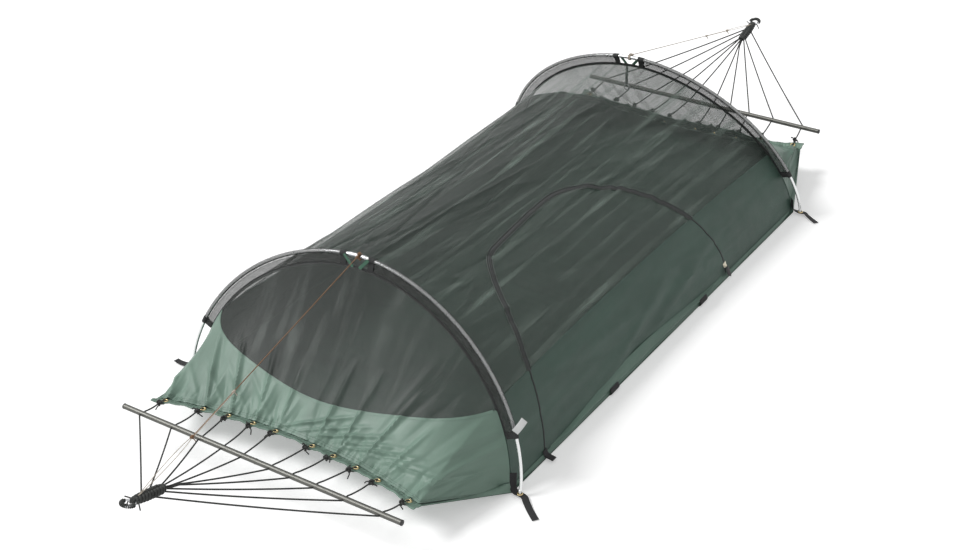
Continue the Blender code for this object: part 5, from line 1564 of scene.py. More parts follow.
    def seams(self, dress: Dresser, stitches: RowTree) -> None:
        """Makes the welted seams where netting joins cloth, with their stitches."""
        y = np.linspace(-0.72, 0.40, 1121)
        inside = y[SHAPE.door_edge(y) > SHAPE.tub_height]
        leave = 0.0085
        runs = (
            ("left", "tent", Side.LEFT, -0.862, 0.862),
            ("right_near", "tent", Side.RIGHT, -0.862, inside[0] - leave),
            ("door", "door", Side.RIGHT, inside[0] + leave, inside[-1] - leave),
            ("right_far", "tent", Side.RIGHT, inside[-1] + leave, 0.862),
        )
        for name, body, side, low, high in runs:
            line, normal = self.seam_line(side, low, high, max(12, int((high - low) / 0.012)))
            down = unit(np.cross(np.gradient(line, axis=0), normal))
            welt = Draft().ribbon(line, down, 0.0075, 0.0026).piece(f"welt_{name}", self.finishes.side_cloth)
            dress.collapse(dress.fit(welt, body, "dark_cloth"))
            rows = [(line + down * off + normal * 0.0014, normal) for off in (-0.0024, 0.0024)]
            row = stitches.row(f"welt_stitches_{name}", rows, Row.WELT, self.finishes.thread)
            dress.collapse(dress.fit(row, body, "dark_cloth"))


@dataclass
class Zip:
    """Zip tapes, teeth, slider, pull and end tab round the door."""

    finishes: Finishes
    canopy: Canopy
    tape: float = 0.0085
    slot: float = 0.0018
    tab_width: float = 0.020
    link_radius: float = 0.0026
    pull_shares: tuple[float, ...] = (0.0, 0.14, 0.30, 0.88, 1.0)
    pull_widths: tuple[float, ...] = (0.0018, 0.0052, 0.0068, 0.0064, 0.0040)
    slider_outline: tuple[tuple[float, float], ...] = (
        (-0.0085, 0.0068), (-0.0070, 0.0082), (-0.0014, 0.0096),
        (0.0042, 0.0112), (0.0080, 0.0120), (0.0088, 0.0110),
    )

    def frames(self, count: int) -> tuple[Array, Array, Array]:
        """Places, directions away from the door, and outward normals along the zip."""
        line = SHAPE.door_line(count)
        share = SHAPE.share_at(line[:, 0])
        turn = SHAPE.turn_for_height(share, line[:, 1])
        places, normals = self.canopy.surface(share, turn), SHAPE.canopy_normal(share, turn)
        away = unit(np.cross(unit(np.gradient(places, axis=0)), normals))
        middle = places.mean(axis=0) - vec(0.0, 0.0, 0.1)
        away *= np.sign(np.sum(away * (places - middle), axis=1, keepdims=True))
        return places, away, normals

    def build(self, dress: Dresser, stitches: RowTree, teeth: RowTree) -> None:
        """Makes the zip's pieces."""
        places, away, normals = self.frames(221)
        shift = (self.slot + self.tape) / 2
        for sign, body, word, node in ((1, "tent", "", "zip_tape"), (-1, "door", "door_", "door_zip_tape")):
            under = smooth((SHAPE.tub_height + 0.004 - places[:, 2:3]) / 0.010)
            line = places + away * sign * shift - normals * 0.0020 * under
            tape = Draft().ribbon(line, away, self.tape, 0.0018)
            tape.tube(line + away * sign * 0.0012 + normals * 0.0008, 0.00065, 8)
            piece = tape.piece(f"{word}zip_tapes", self.finishes.zip_tape)
            dress.collapse(dress.fit(piece, body, "webbing", node))
            edges = Draft()
            for off, size in ((0.0036, 0.00095), (-0.0022, 0.00070)):
                edges.tube(line + away * sign * off + normals * 0.0009, size, 8)
            dress.collapse(dress.fit(edges.piece(f"{word}zip_piping", self.finishes.piping), body, "webbing"))
            rows = [(line + away * sign * off + normals * 0.0012, normals) for off in (0.0024, -0.0002)]
            row = stitches.row(f"{word}zip_stitches", rows, Row.ZIP, self.finishes.thread)
            dress.collapse(dress.fit(row, body, "webbing"))
            edge = places + away * sign * 0.0012 + normals * 0.0006
            start = 1 if sign > 0 else 2
            run = (edge[start:-3], normals[start:-3])
            row = teeth.row(f"{word}zip_teeth", [run], Row.TEETH, self.finishes.coil)
            dress.collapse(dress.fit(row, body, "black_plastic"))
        self.slider(dress, places, away, normals)
        self.end_tab(dress, places, normals)

    def slider(self, dress: Dresser, places: Array, away: Array, normals: Array) -> None:
        """Makes the slider with its bridge, and the pull that hangs from it."""
        low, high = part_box("zip_slider")
        centre = np.array((low + high) / 2)
        half = len(places) // 2
        index = half + int(np.argmin(np.linalg.norm(places[half:] - centre, axis=1)))
        wide, out = away[index], normals[index]
        along = unit(np.cross(out, wide))
        along *= np.sign(along[2])
        base = centre - out * (out @ (centre - places[index])) + out * 0.0018
        body = Draft()
        for height, size in ((0.0, 0.0012), (-0.0032, 0.0010)):
            rings = []
            for step, width in self.slider_outline:
                place = base + along * step + out * height
                half_w, half_t = width * 0.78, size / 2
                corners = ((-1.0, -half_t), (1.0, -half_t), (0.9, half_t), (-0.9, half_t))
                rings.append([place + wide * half_w * u + out * v for u, v in corners])
            body.swept(np.array(rings))
        bend = np.linspace(0.0, math.pi, 13)
        bridge = arc(base + out * 0.0004, 1.0, along * 0.0060, out * 0.0040, bend)
        body.ribbon(bridge, wide, 0.0030, 0.0012)
        piece = body.piece("slider", self.finishes.slider_metal, 30.0)
        dress.fit(piece, "zip_slider", "steel", "zip_slider")
        self.pull(dress)

    def pull(self, dress: Dresser) -> None:
        """Makes the two black tabs that hang from the slider on a small ring."""
        low, high = corners("zip_pull")
        top = vec((low[0] + high[0]) / 2, (low[1] + high[1]) / 2, high[2])
        ring = arc(top - self.link_radius * UP, self.link_radius, ALONG, UP, full_turn(24))
        link = Draft().tube(ring, 0.0007, 8, closed=True)
        dress.fit(link.piece("pull_link", self.finishes.slider_metal), "zip_pull", "steel")
        length = high[2] - low[2]
        tabs = Draft()
        for lean, reach in ((0.0018, 1.06), (-0.0018, 0.86)):
            drop = np.linspace(0.0048, length * reach, 14)
            way = vec(0.38, lean * 2.2 / length, -1.0)
            line = top + vec(0.0006, 0.0, 0.0) + drop[:, None] * way
            widths = np.interp(np.linspace(0, 1, 14), self.pull_shares, self.pull_widths)
            angles = full_turn(12)
            rings = [arc(spot, 1.0, w * ALONG, 0.0016 * ACROSS, angles) for spot, w in zip(line, widths)]
            tabs.swept(np.array(rings))
        dress.fit(tabs.piece("pull_tabs", self.finishes.plastic), "zip_pull", "black_plastic", "zip_pull")

    def end_tab(self, dress: Dresser, places: Array, normals: Array) -> None:
        """Makes the folded webbing sewn below the near foot of the zip."""
        low, high = corners("zip_end_tab")
        middle = (low[1] + high[1]) / 2
        top = places[0] + normals[0] * 0.0026
        route = np.array(
            [
                [top[0] - 0.0006, middle, top[2] + 0.009],
                [top[0] + 0.0004, middle, top[2] + 0.003],
                [top[0] + 0.004, middle, top[2] - 0.004],
                [top[0] + 0.014, middle, top[2] - 0.0075],
                [high[0] - 0.006, middle, low[2] + 0.0030],
                [high[0], middle, low[2] + 0.0012],
            ]
        )
        line = curved(route, 26)
        tab = Draft().ribbon(line, (0.0, 1.0, 0.0), self.tab_width, 0.0014)
        back = line[8:-1] - vec(0.0, 0.0, 0.0016)
        tab.ribbon(back, (0.0, 1.0, 0.0), self.tab_width, 0.0012)
        piece = tab.piece("end_tab", self.finishes.webbing)
        dress.collapse(dress.fit(piece, "tent", "webbing", "zip_end_tab"))


@dataclass
class EndCloth:
    """Net and gathered panel between an arch and its hem."""

    finishes: Finishes
    end: End
    folds: Creases = field(init=False)

    def __post_init__(self) -> None:
        """Lays out the gathers that rise from the eyelets, in distance from the hem and place across."""
        rng = np.random.default_rng(3 if self.end is End.NEAR else 4)
        folds = []
        for spot in SHAPE.eyelets:
            outward = 0.42 * spot / SHAPE.corner_half_width
            for lean, reach, height in ((-0.05, 0.20, 0.0088), (0.26, 0.11, 0.0050)):
                slope = lean + outward + rng.normal(0.0, 0.05)
                far = reach * rng.uniform(0.8, 1.4)
                start, stop = (-0.03, spot - 0.03 * slope), (far, spot + far * slope)
                folds.append(
                    Crease(
                        start, stop, (0.0042, 0.0095 * rng.uniform(0.8, 1.3)), height * rng.uniform(0.7, 1.2)
                    )
                )
            for side in (-1, 1):
                off = 0.024 * side
                far = rng.uniform(0.06, 0.12)
                start, stop = (-0.02, spot + off), (far, spot + off + far * (outward + 0.2 * side))
                folds.append(Crease(start, stop, (0.006, 0.011), -0.0038 * rng.uniform(0.7, 1.3)))
        for k in range(7):
            spot = -0.06 + 0.052 * k
            start, stop = (0.012 + 0.004 * k, spot), (0.125 - 0.006 * k, spot + 0.20 + 0.006 * k)
            folds.append(Crease(start, stop, (0.0052, 0.0090), (0.0066, 0.0046)[k % 2]))
        for k in range(4):
            spot = -0.10 - 0.075 * k
            folds.append(Crease((0.02, spot), (0.16, spot - 0.13), (0.0080, 0.0130), 0.0034))
        for _ in range(70):
            spot = rng.uniform(-0.47, 0.47)
            far = rng.uniform(0.022, 0.052)
            start, stop = (-0.01, spot), (far, spot + rng.normal(0.0, 0.010))
            folds.append(
                Crease(start, stop, (0.0030, 0.0048), rng.uniform(0.0012, 0.0026) * rng.choice((-1, 1)))
            )
        for _ in range(12):
            spot = rng.uniform(-0.44, 0.44)
            slope = 0.6 * spot / SHAPE.corner_half_width + rng.normal(0.0, 0.06)
            low, high = rng.uniform(0.02, 0.12), rng.uniform(0.26, 0.50)
            start, stop = (low, spot + low * slope), (high, spot + high * slope)
            wide = rng.uniform(0.008, 0.014)
            folds.append(
                Crease(start, stop, (wide, wide * 1.5), rng.uniform(0.0016, 0.0030) * rng.choice((-1, 1)))
            )
        self.folds = Creases(folds)

    def reach(self, turn: Array) -> Array:
        """Length of the cloth at a turn, from the arch to the hem."""
        ends = SHAPE.end_cloth(self.end, turn, 1.0) - SHAPE.end_cloth(self.end, turn, 0.0)
        return np.linalg.norm(ends, axis=-1)

    def flat(self, turn: Array, share: Array) -> Array:
        """Flat coordinates: distance from the hem and place across."""
        turn, share = np.broadcast_arrays(turn, np.asarray(share, dtype=float))
        across = SHAPE.end_target(turn)[..., 0]
        wide = SHAPE.seam(self.end, turn)[..., 0]
        return np.stack([(1 - share) * self.reach(turn), across * share + wide * (1 - share) * 0.9], axis=-1)

    def surface(self, turn: Array, share: Array) -> Array:
        """Points of the folded cloth."""
        turn, share = np.broadcast_arrays(turn, np.asarray(share, dtype=float))
        points = SHAPE.end_cloth(self.end, turn, share)
        flat = self.flat(turn, share)
        across = SHAPE.end_target(turn)[..., 0]
        lift = self.folds.lift(flat[..., 0], across)
        first = SHAPE.end_first_turn
        side = smooth((turn - first) / 0.16) * smooth((math.pi - first - turn) / 0.16)
        held = smooth(share / 0.10) * side
        step = 2e-3
        one = SHAPE.end_cloth(self.end, turn + step, share) - SHAPE.end_cloth(self.end, turn - step, share)
        two = SHAPE.end_cloth(self.end, turn, share + step) - SHAPE.end_cloth(self.end, turn, share - step)
        normal = unit(np.cross(one, two))
        normal *= np.sign(normal[..., 2:3] + SMALL)
        return points + normal * (lift * held)[..., None]

    def seam_share(self, turn: Array) -> Array:
        """How far down the cloth the seam of net and panel runs."""
        return SHAPE.end_seam_share(self.end, turn)

    def build(self, dress: Dresser, stitches: RowTree) -> None:
        """Makes the panel with its gussets, the net, their seam, the gathers' stitches and the piping."""
        label = self.end.label
        # At the far end the panel, its gussets and its welt take the darker copy of the end cloth, which is
        # painted shade.
        cloth = self.finishes.end_cloth if self.end is End.NEAR else self.finishes.far_cloth
        first = SHAPE.end_first_turn
        turn = np.linspace(first, math.pi - first, 361)
        start = self.seam_share(turn)
        part = np.linspace(0.0, 1.0, 57)
        share = start[:, None] * (1 - part) + part
        points = self.surface(turn[:, None], share)
        flat = self.flat(turn[:, None], share)
        draft = Draft().cloth(points, flat, GAUGE.light)
        down, wide = np.linspace(0.0, 1.0, 40), np.linspace(0.0, 1.0, 9)[None, :, None]
        for edge in (first, math.pi - first):
            upper = self.surface(np.full(40, edge), down)
            lower = SHAPE.bed(self.end, np.full(40, 1.0), down)
            lower = lower * (np.sign(upper[0, 0] * lower[0, 0]), 1.0, 1.0) + (0.0, 0.0, 0.0014)
            gusset = upper[:, None] * (1 - wide) + lower[:, None] * wide
            draft.cloth(gusset, gusset[..., :2], GAUGE.light)
        panel = draft.piece(f"end_cloth_{label}", cloth)
        dress.fit(panel, "tent", "light_cloth", f"end_panel_{label}", follows=self.end)

        upper = turn[start > 0.012]
        stop = self.seam_share(upper)
        share = stop[:, None] * part[::2]
        points = self.surface(upper[:, None], share)
        flat = self.flat(upper[:, None], share)
        net = Draft().cloth(points, flat, GAUGE.netting).piece(f"end_netting_{label}", self.finishes.end_net)
        dress.fit(net, "tent", "netting", f"end_net_{label}", follows=self.end)

        line = self.surface(upper, stop)
        out = unit(np.cross(np.gradient(line, axis=0), line - self.surface(upper, stop - 0.02)))
        out *= np.sign(out[:, 2:3])
        down = unit(np.cross(np.gradient(line, axis=0), out))
        welt = Draft().ribbon(line, down, 0.0070, 0.0024).piece(f"end_welt_{label}", cloth)
        dress.fit(welt, "tent", "light_cloth", follows=self.end)
        rows = [(line + down * off + out * 0.0013, out) for off in (-0.0022, 0.0022)]
        row = stitches.row(f"end_welt_stitches_{label}", rows, Row.WELT, self.finishes.pale_thread)
        dress.fit(row, "tent", "light_cloth", follows=self.end)

        inside = turn[10:-10]
        rows = []
        for place in (0.966, 0.982):
            line = self.surface(inside, np.full(len(inside), place))
            other = self.surface(inside, np.full(len(inside), place - 0.01))
            face = unit(np.cross(np.gradient(line, axis=0), line - other))
            face *= np.sign(face[:, 2:3])
            rows.append((line + face * 0.0008, face))
        row = stitches.row(f"end_gather_stitches_{label}", rows, Row.GATHERS, self.finishes.thread)
        dress.fit(row, "tent", "light_cloth", follows=self.end)

        corners = Draft()
        for edge in (first, math.pi - first):
            line = self.surface(np.full(40, edge), np.linspace(0.02, 1.0, 40))
            corners.tube(line, 0.0020, 8)
        piece = corners.piece(f"corner_piping_{label}", self.finishes.side_cloth)
        dress.fit(piece, "tent", "dark_cloth", follows=self.end)


@dataclass
class Hem:
    """The doubled, gathered band at the end of the bed, with ten brass eyelets."""

    finishes: Finishes
    end: End
    scallop: float = 0.0085
    bore: float = 0.0044
    stitch_rows: tuple[float, ...] = (0.14, 0.24, 0.84, 0.93)

    def edge_inset(self, x: Array) -> Array:
        """How far the free edge draws in between the eyelets."""
        spots = np.array(SHAPE.eyelets)
        middles = (spots[1:] + spots[:-1]) / 2
        inset = np.zeros(np.shape(x))
        for middle, gap in zip(middles, np.diff(spots)):
            q = np.clip((x - middle) / (gap / 2), -1, 1)
            inset += self.scallop * (gap / 0.085) * (1 - q * q) ** 0.8
        return inset - 0.0030

    def surface(self, x: Array, part: Array) -> Array:
        """Points of the band: part runs from its free edge to its inner edge."""
        x, part = np.broadcast_arrays(x, np.asarray(part, dtype=float))
        inset = self.edge_inset(x) * (1 - part) + (SHAPE.band_width + 0.002) * part
        nearest = np.min(np.abs(np.asarray(x)[..., None] - np.array(SHAPE.eyelets)), axis=-1)
        loose = smooth((nearest - 0.007) / 0.012)
        fine = np.sin(x * 610 + 2.2 * np.sin(x * 37))
        pucker = 0.0006 * fine * (0.35 + part) + 0.0012 * np.sin(x * 143 + 1.0)
        roll = 0.0020 * np.sin(math.pi * 2.0 * part)
        lift = pucker * loose + roll * loose
        return SHAPE.hem_point(self.end, x, inset) + SHAPE.hem_normal(self.end) * lift[..., None]

    def build(self, dress: Dresser, stitches: RowTree, eyelets: RowTree) -> None:
        """Makes the band, its stitches and its eyelets."""
        label = self.end.label
        half = SHAPE.corner_half_width + SHAPE.bed_half_width - SHAPE.seam_half_span
        x = np.linspace(-half, half, 501)
        part = np.linspace(0.0, 1.0, 17)
        points = self.surface(x[:, None], part[None, :])
        flat = lay_flat(x, part * SHAPE.band_width)
        holes = [SHAPE.hem_point(self.end, spot, SHAPE.eyelet_inset) for spot in SHAPE.eyelets]
        bores = np.min([np.linalg.norm(points - hole, axis=-1) for hole in holes], axis=0)
        draft = Draft().cloth(points, flat, GAUGE.hem, bores - self.bore)
        band = draft.piece(f"hem_{label}", self.finishes.end_cloth)
        dress.fit(band, "tent", "light_cloth", f"hem_band_{label}")
        out = SHAPE.hem_normal(self.end)
        rows = []
        for place in self.stitch_rows:
            rows.append((self.surface(x, place) + out * 0.0019, out))
            rows.append((self.surface(x, place) - out * 0.0019, -out))
        row = stitches.row(f"hem_stitches_{label}", rows, Row.HEM, self.finishes.thread)
        dress.fit(row, "tent", "light_cloth")
        spots = SHAPE.hem_point(self.end, np.array(SHAPE.eyelets), SHAPE.eyelet_inset)
        rows = [(spots + out * 0.0020, out), (spots - out * 0.0020, -out)]
        rings = eyelets.row(f"hem_eyelets_{label}", rows, Row.EYELETS, self.finishes.brass)
        dress.fit(rings, "tent", "brass")


@dataclass
class Arch:
    """A pole in its two netting sleeves, with tips, ferrule, binding and trim."""

    finishes: Finishes
    end: End
    steps: int = 70
    tunnel: float = 0.0064
    band: float = 0.0072
    fin_short: float = 0.0028
    fin_apart: float = 0.0013
    fin_wave: float = 0.0016
    tape_width: float = 0.0085
    tape_thickness: float = 0.0034
    piping: float = 0.0021
    ferrule_reach: float = 0.030

    @property
    def body(self) -> str:
        """The body that all of it rides on."""
        return f"{self.end.label}_arch"

    def build(self, dress: Dresser, stitches: RowTree) -> None:
        """Makes the arch's pieces."""
        self.poles(dress)
        self.sleeves(dress, stitches)
        self.binding(dress, stitches)
        self.trim(dress)

    def poles(self, dress: Dresser) -> None:
        """Makes the pole halves with their tips, the ferrule and the foot eyelets."""
        label = self.end.label
        for side in Side:
            middle = SHAPE.turn_at(SHAPE.top_place(self.end), SHAPE.arch_half_span) + side.value * 0.0012
            small = SHAPE.turn_up(0.0166, SHAPE.arch_height)
            small = small if side is Side.LEFT else math.pi - small
            line = evenly(SHAPE.pole(self.end, np.linspace(small, middle, 300)), 110)
            across = side.value * SHAPE.arch_half_span
            foot = [
                (-0.0030, 0.0006), (-0.0024, 0.0018), (-0.0012, 0.0027), (0.0, 0.0030), (0.0014, 0.0028),
                (0.0026, 0.0025), (0.0036, 0.0024), (0.0040, 0.0050), (0.0046, 0.0056), (0.0112, 0.0056),
                (0.0118, 0.0052), (0.0124, SHAPE.pole_radius),
            ]
            points = [SHAPE.arch_point(self.end, across, rise) for rise, _ in foot] + list(line)
            radii = [radius for _, radius in foot] + [SHAPE.pole_radius] * len(line)
            tube = Draft().tube(np.array(points), radii, 24, first=SHAPE.arch_normal(self.end))
            piece = tube.piece(f"pole_tube_{label}_{side.label}", self.finishes.pole, 30.0)
            dress.fit(piece, self.body, "pole", f"pole_{label}_{side.label}")
            place = SHAPE.arch_point(self.end, across, 0.0)
            angle = full_turn(20)
            roll = [(0.0060 + 0.0021 * math.cos(t), 0.0016 * math.sin(t)) for t in angle]
            eye = Draft().turned(roll, place, (0, 0, 1), 36)
            piece = eye.piece(f"foot_eye_{label}_{side.label}", self.finishes.brass)
            dress.fit(piece, self.body, "brass", f"foot_eyelet_{label}_{side.label}")
        top = SHAPE.top_place(self.end)
        reach = np.linspace(top - self.ferrule_reach, top + self.ferrule_reach, 15)
        turns = [SHAPE.turn_at(x, SHAPE.arch_half_span) for x in reach]
        radii = [0.00560] + [0.00600] * 2 + [0.00575] * 9 + [0.00600] * 2 + [0.00560]
        line = SHAPE.pole(self.end, np.array(turns))
        ferrule = Draft().tube(line, radii, 28, first=SHAPE.arch_normal(self.end))
        piece = ferrule.piece(f"ferrule_{label}", self.finishes.steel, 30.0)
        dress.fit(piece, self.body, "steel", f"pole_{label}_ferrule")

    def sleeve_frames(self, side: Side, count: int) -> tuple[Array, Array, Array]:
        """Pole places, directions to the seam and distances to it, along one sleeve."""
        turns = SHAPE.sleeve_turns(self.end, side, count)
        seam = np.array([SHAPE.nearest_seam_turn(turn) for turn in turns])
        places = SHAPE.pole(self.end, turns)
        reach = SHAPE.seam(self.end, seam) - places
        length = np.linalg.norm(reach, axis=1)
        return places, unit(reach), length

    def sleeves(self, dress: Dresser, stitches: RowTree) -> None:
        """Makes each sleeve: a tunnel round the pole and the fin down to the seam."""
        label = self.end.label
        across = SHAPE.arch_normal(self.end)
        for side in Side:
            places, inward, length = self.sleeve_frames(side, self.steps)
            ripple = 0.0007 * np.sin(np.arange(self.steps) * 2.1)
            angles = np.linspace(math.radians(16), math.radians(344), 23)
            radii = self.tunnel + ripple * 0.4
            frames = list(zip(places, radii, inward))
            points = np.array([arc(place, radius, way, across, angles) for place, radius, way in frames])
            run = run_along(places)
            flat = lay_flat(run, run_along(points[0]))
            tunnel = Draft().cloth(points, flat, GAUGE.tunnel)
            piece = tunnel.piece(f"pole_sleeve_{label}_{side.label}", self.finishes.tunnel_net)
            dress.fit(piece, self.body, "sleeve_netting", f"sleeve_{label}_{side.label}")
            skin = Draft()
            for sign, phase in ((1, 0.0), (-1, 0.6)):
                sheet = []
                for k in range(self.steps):
                    fin = np.linspace(self.tunnel + 0.0005, length[k] - self.fin_short, 12)
                    swell = np.sin(math.pi * (fin - fin[0]) / (fin[-1] - fin[0]))
                    wave = self.fin_wave * math.sin(k * 0.9 + phase) * swell
                    lift = sign * self.fin_apart + wave * (0.6 if sign < 0 else 1.0)
                    sheet.append([places[k] + d * inward[k] + w * across for d, w in zip(fin, lift)])
                flat = lay_flat(run, fin)
                skin.cloth(np.array(sheet), flat, GAUGE.fin)
            piece = skin.piece(f"sleeve_fin_{label}_{side.label}", self.finishes.sleeve_net)
            dress.fit(piece, self.body, "sleeve_netting")
            bands = Draft()
            for low, high in ((0, 3), (self.steps - 3, self.steps)):
                wide = []
                for k in range(low, high):
                    ring = list(arc(places[k], self.band, inward[k], across, angles))
                    fin = [places[k] + d * inward[k] for d in (0.012, length[k] - 0.0035)]
                    front = [fin[1] + across * 0.0019, fin[0] + across * 0.0022]
                    back = [fin[0] - across * 0.0022, fin[1] - across * 0.0019]
                    wide.append(front + ring + back)
                grid = np.array(wide)
                flat = lay_flat(run_along(places[low:high]), run_along(grid[0]))
                bands.cloth(grid, flat, GAUGE.sleeve_band)
            piece = bands.piece(f"sleeve_bands_{label}_{side.label}", self.finishes.seam_tape)
            dress.fit(piece, self.body, "webbing")
            rows = [(places + inward * 0.0098 + across * s * 0.0024, across * s) for s in (1, -1)]
            row = stitches.row(f"sleeve_stitches_{label}_{side.label}", rows, Row.SLEEVE, self.finishes.coil)
            dress.fit(row, self.body, "webbing")

    def binding(self, dress: Dresser, stitches: RowTree) -> None:
        """Makes the tape bound over the seam of roof, end net and sleeve."""
        label = self.end.label
        first = SHAPE.turn_up(0.140, SHAPE.seam_height)
        out = SHAPE.arch_normal(self.end)
        low = SHAPE.turn_up(0.050, SHAPE.seam_height)
        feet = Draft()
        for start, stop in ((low, first), (math.pi - first, math.pi - low)):
            feet.tube(evenly(SHAPE.seam(self.end, np.linspace(start, stop, 80)), 30), self.piping, 10)
        dress.fit(feet.piece(f"foot_piping_{label}", self.finishes.side_cloth), self.body, "dark_cloth")
        line = evenly(SHAPE.seam(self.end, np.linspace(first, math.pi - first, 400)), 150)
        outward = unit(np.cross(np.gradient(line, axis=0), out))
        tape = Draft().ribbon(line, outward, self.tape_width, self.tape_thickness)
        tape.tube(line + outward * 0.0040, 0.0013, 8)
        piece = tape.piece(f"seam_binding_{label}", self.finishes.seam_tape)
        dress.fit(piece, self.body, "webbing", f"seam_tape_{label}")
        rows = [(line + out * s * 0.0018, out * s) for s in (1, -1)]
        row = stitches.row(f"binding_stitches_{label}", rows, Row.BINDING, self.finishes.coil)
        dress.fit(row, self.body, "webbing")

    def trim(self, dress: Dresser) -> None:
        """Makes the green tapes that tie both sleeves down beside the bare pole, and the blank tag."""
        label = self.end.label
        top = SHAPE.top_place(self.end)
        out = SHAPE.arch_normal(self.end)
        tapes = Draft()
        for side in Side:
            begin = SHAPE.turn_at(top + side.value * 0.040, SHAPE.arch_half_span)
            leave = SHAPE.turn_at(top + side.value * 0.011, SHAPE.seam_half_span)
            start = SHAPE.pole(self.end, np.array([begin]))[0]
            stop = SHAPE.seam(self.end, np.array([leave]))[0]
            middle = start * 0.6 + stop * 0.4
            route = np.array([start + out * 0.0085, middle + out * 0.0065, stop + out * 0.0034])
            tapes.ribbon(curved(route, 14), (stop - start)[[2, 1, 0]] * (1, 0, -1), 0.0095, 0.0012)
        dress.fit(tapes.piece(f"top_tapes_{label}", self.finishes.green_tape), self.body, "webbing")
        if self.end is End.NEAR:
            places, inward, _ = self.sleeve_frames(Side.RIGHT, self.steps)
            base = places[2] - inward[2] * 0.0066 + vec(-0.006, -0.013, 0.010)
            way, wide = vec(0.32, 0.66, 0.68), vec(0.75, 0.20, -0.62)
            t = np.linspace(0.0, 1.0, 14)[:, None]
            line = base + wide * 0.010 + way * 0.040 * t + vec(0.004, -0.004, 0.004) * np.sin(math.pi * t)
            tag = Draft().ribbon(line, wide, 0.019, 0.0007)
            dress.fit(tag.piece("blank_tag", self.finishes.tag), self.body, "light_cloth")


@dataclass
class Straps:
    """Webbing sewn to the tent's foot corners and to its right-hand edge."""

    finishes: Finishes
    thickness: float = 0.0014
    foot_width: float = 0.019
    loop_width: float = 0.046
    turns: tuple[float, ...] = (0.785, 0.785, 0.74, 0.66, 0.62, 0.62, 0.64, 0.67, 0.67)
    route: tuple[tuple[float, float, float], ...] = (
        (0.5325, 0.8560, 0.0560),
        (0.5335, 0.8600, 0.0300),
        (0.5385, 0.8650, 0.0120),
        (0.5480, 0.8690, 0.0080),
        (0.5600, 0.8690, 0.0072),
        (0.5740, 0.8720, 0.0070),
        (0.5900, 0.8860, 0.0055),
        (0.6150, 0.9070, 0.0024),
        (0.6450, 0.9300, 0.0018),
    )

    def feet(self, dress: Dresser, stitches: RowTree) -> None:
        """Makes the four foot straps with their sewn boxes."""
        tails = {
            (End.NEAR, Side.LEFT): (
                (0.5900, 0.8730, 0.0050), (0.6080, 0.8720, 0.0040), (0.6250, 0.8700, 0.0050)
            ),
            (End.FAR, Side.RIGHT): (
                (0.5880, 0.8640, 0.0050), (0.6080, 0.8520, 0.0030), (0.6300, 0.8390, 0.0020)
            ),
        }
        for end in End:
            for side in Side:
                name = f"{end.label}_{side.label}"
                flip = vec(side.value, end.value, 1.0)
                route = np.array(self.route[:6] + tails.get((end, side), self.route[6:]))
                line = curved(route * flip, 44)
                run = run_along(route)
                picks = np.interp(np.linspace(0, 1, 44), run / run[-1], self.turns)
                across = np.stack([-np.sin(picks), np.cos(picks), 0 * picks], axis=1) * flip
                strap = Draft().ribbon(line, across, self.foot_width, self.thickness)
                piece = strap.piece(f"corner_strap_{name}", self.finishes.webbing)
                dress.fit(piece, "tent", "webbing", f"foot_strap_{name}")
                side_way = unit(across)
                out = unit(np.cross(np.gradient(line, axis=0), side_way))
                line, side_way, out = line[1:12], side_way[1:12], out[1:12]
                rows = [
                    (line + side_way * off + out * sign * 0.0009, out * sign)
                    for off in (-0.0068, 0.0068)
                    for sign in (1, -1)
                ]
                row = stitches.row(f"strap_stitches_{name}", rows, Row.STRAP, self.finishes.coil)
                dress.fit(row, "tent", "webbing")

    def loops(self, dress: Dresser) -> None:
        """Makes the two side loops."""
        for label in ("near", "far"):
            low, high = corners(f"side_loop_{label}")
            middle = (low[1] + high[1]) / 2
            foot = float(SHAPE.canopy(SHAPE.share_at(np.array([middle])), np.array([math.pi - 0.002]))[0, 0])
            route = [
                (low[0], 0.0016),
                (foot + 0.0095, 0.0020),
                (foot + 0.0135, 0.0070),
                (foot + 0.0120, 0.0145),
                (foot + 0.0085, 0.0225),
            ]
            line = curved(np.array([(x, middle, z) for x, z in route]), 26)
            loop = Draft().ribbon(line, (0.0, 1.0, 0.0), self.loop_width, self.thickness)
            piece = loop.piece(f"edge_loop_{label}", self.finishes.webbing)
            dress.fit(piece, "tent", "webbing", f"side_loop_{label}")

    def build(self, dress: Dresser, stitches: RowTree) -> None:
        """Makes all the straps."""
        self.feet(dress, stitches)
        self.loops(dress)


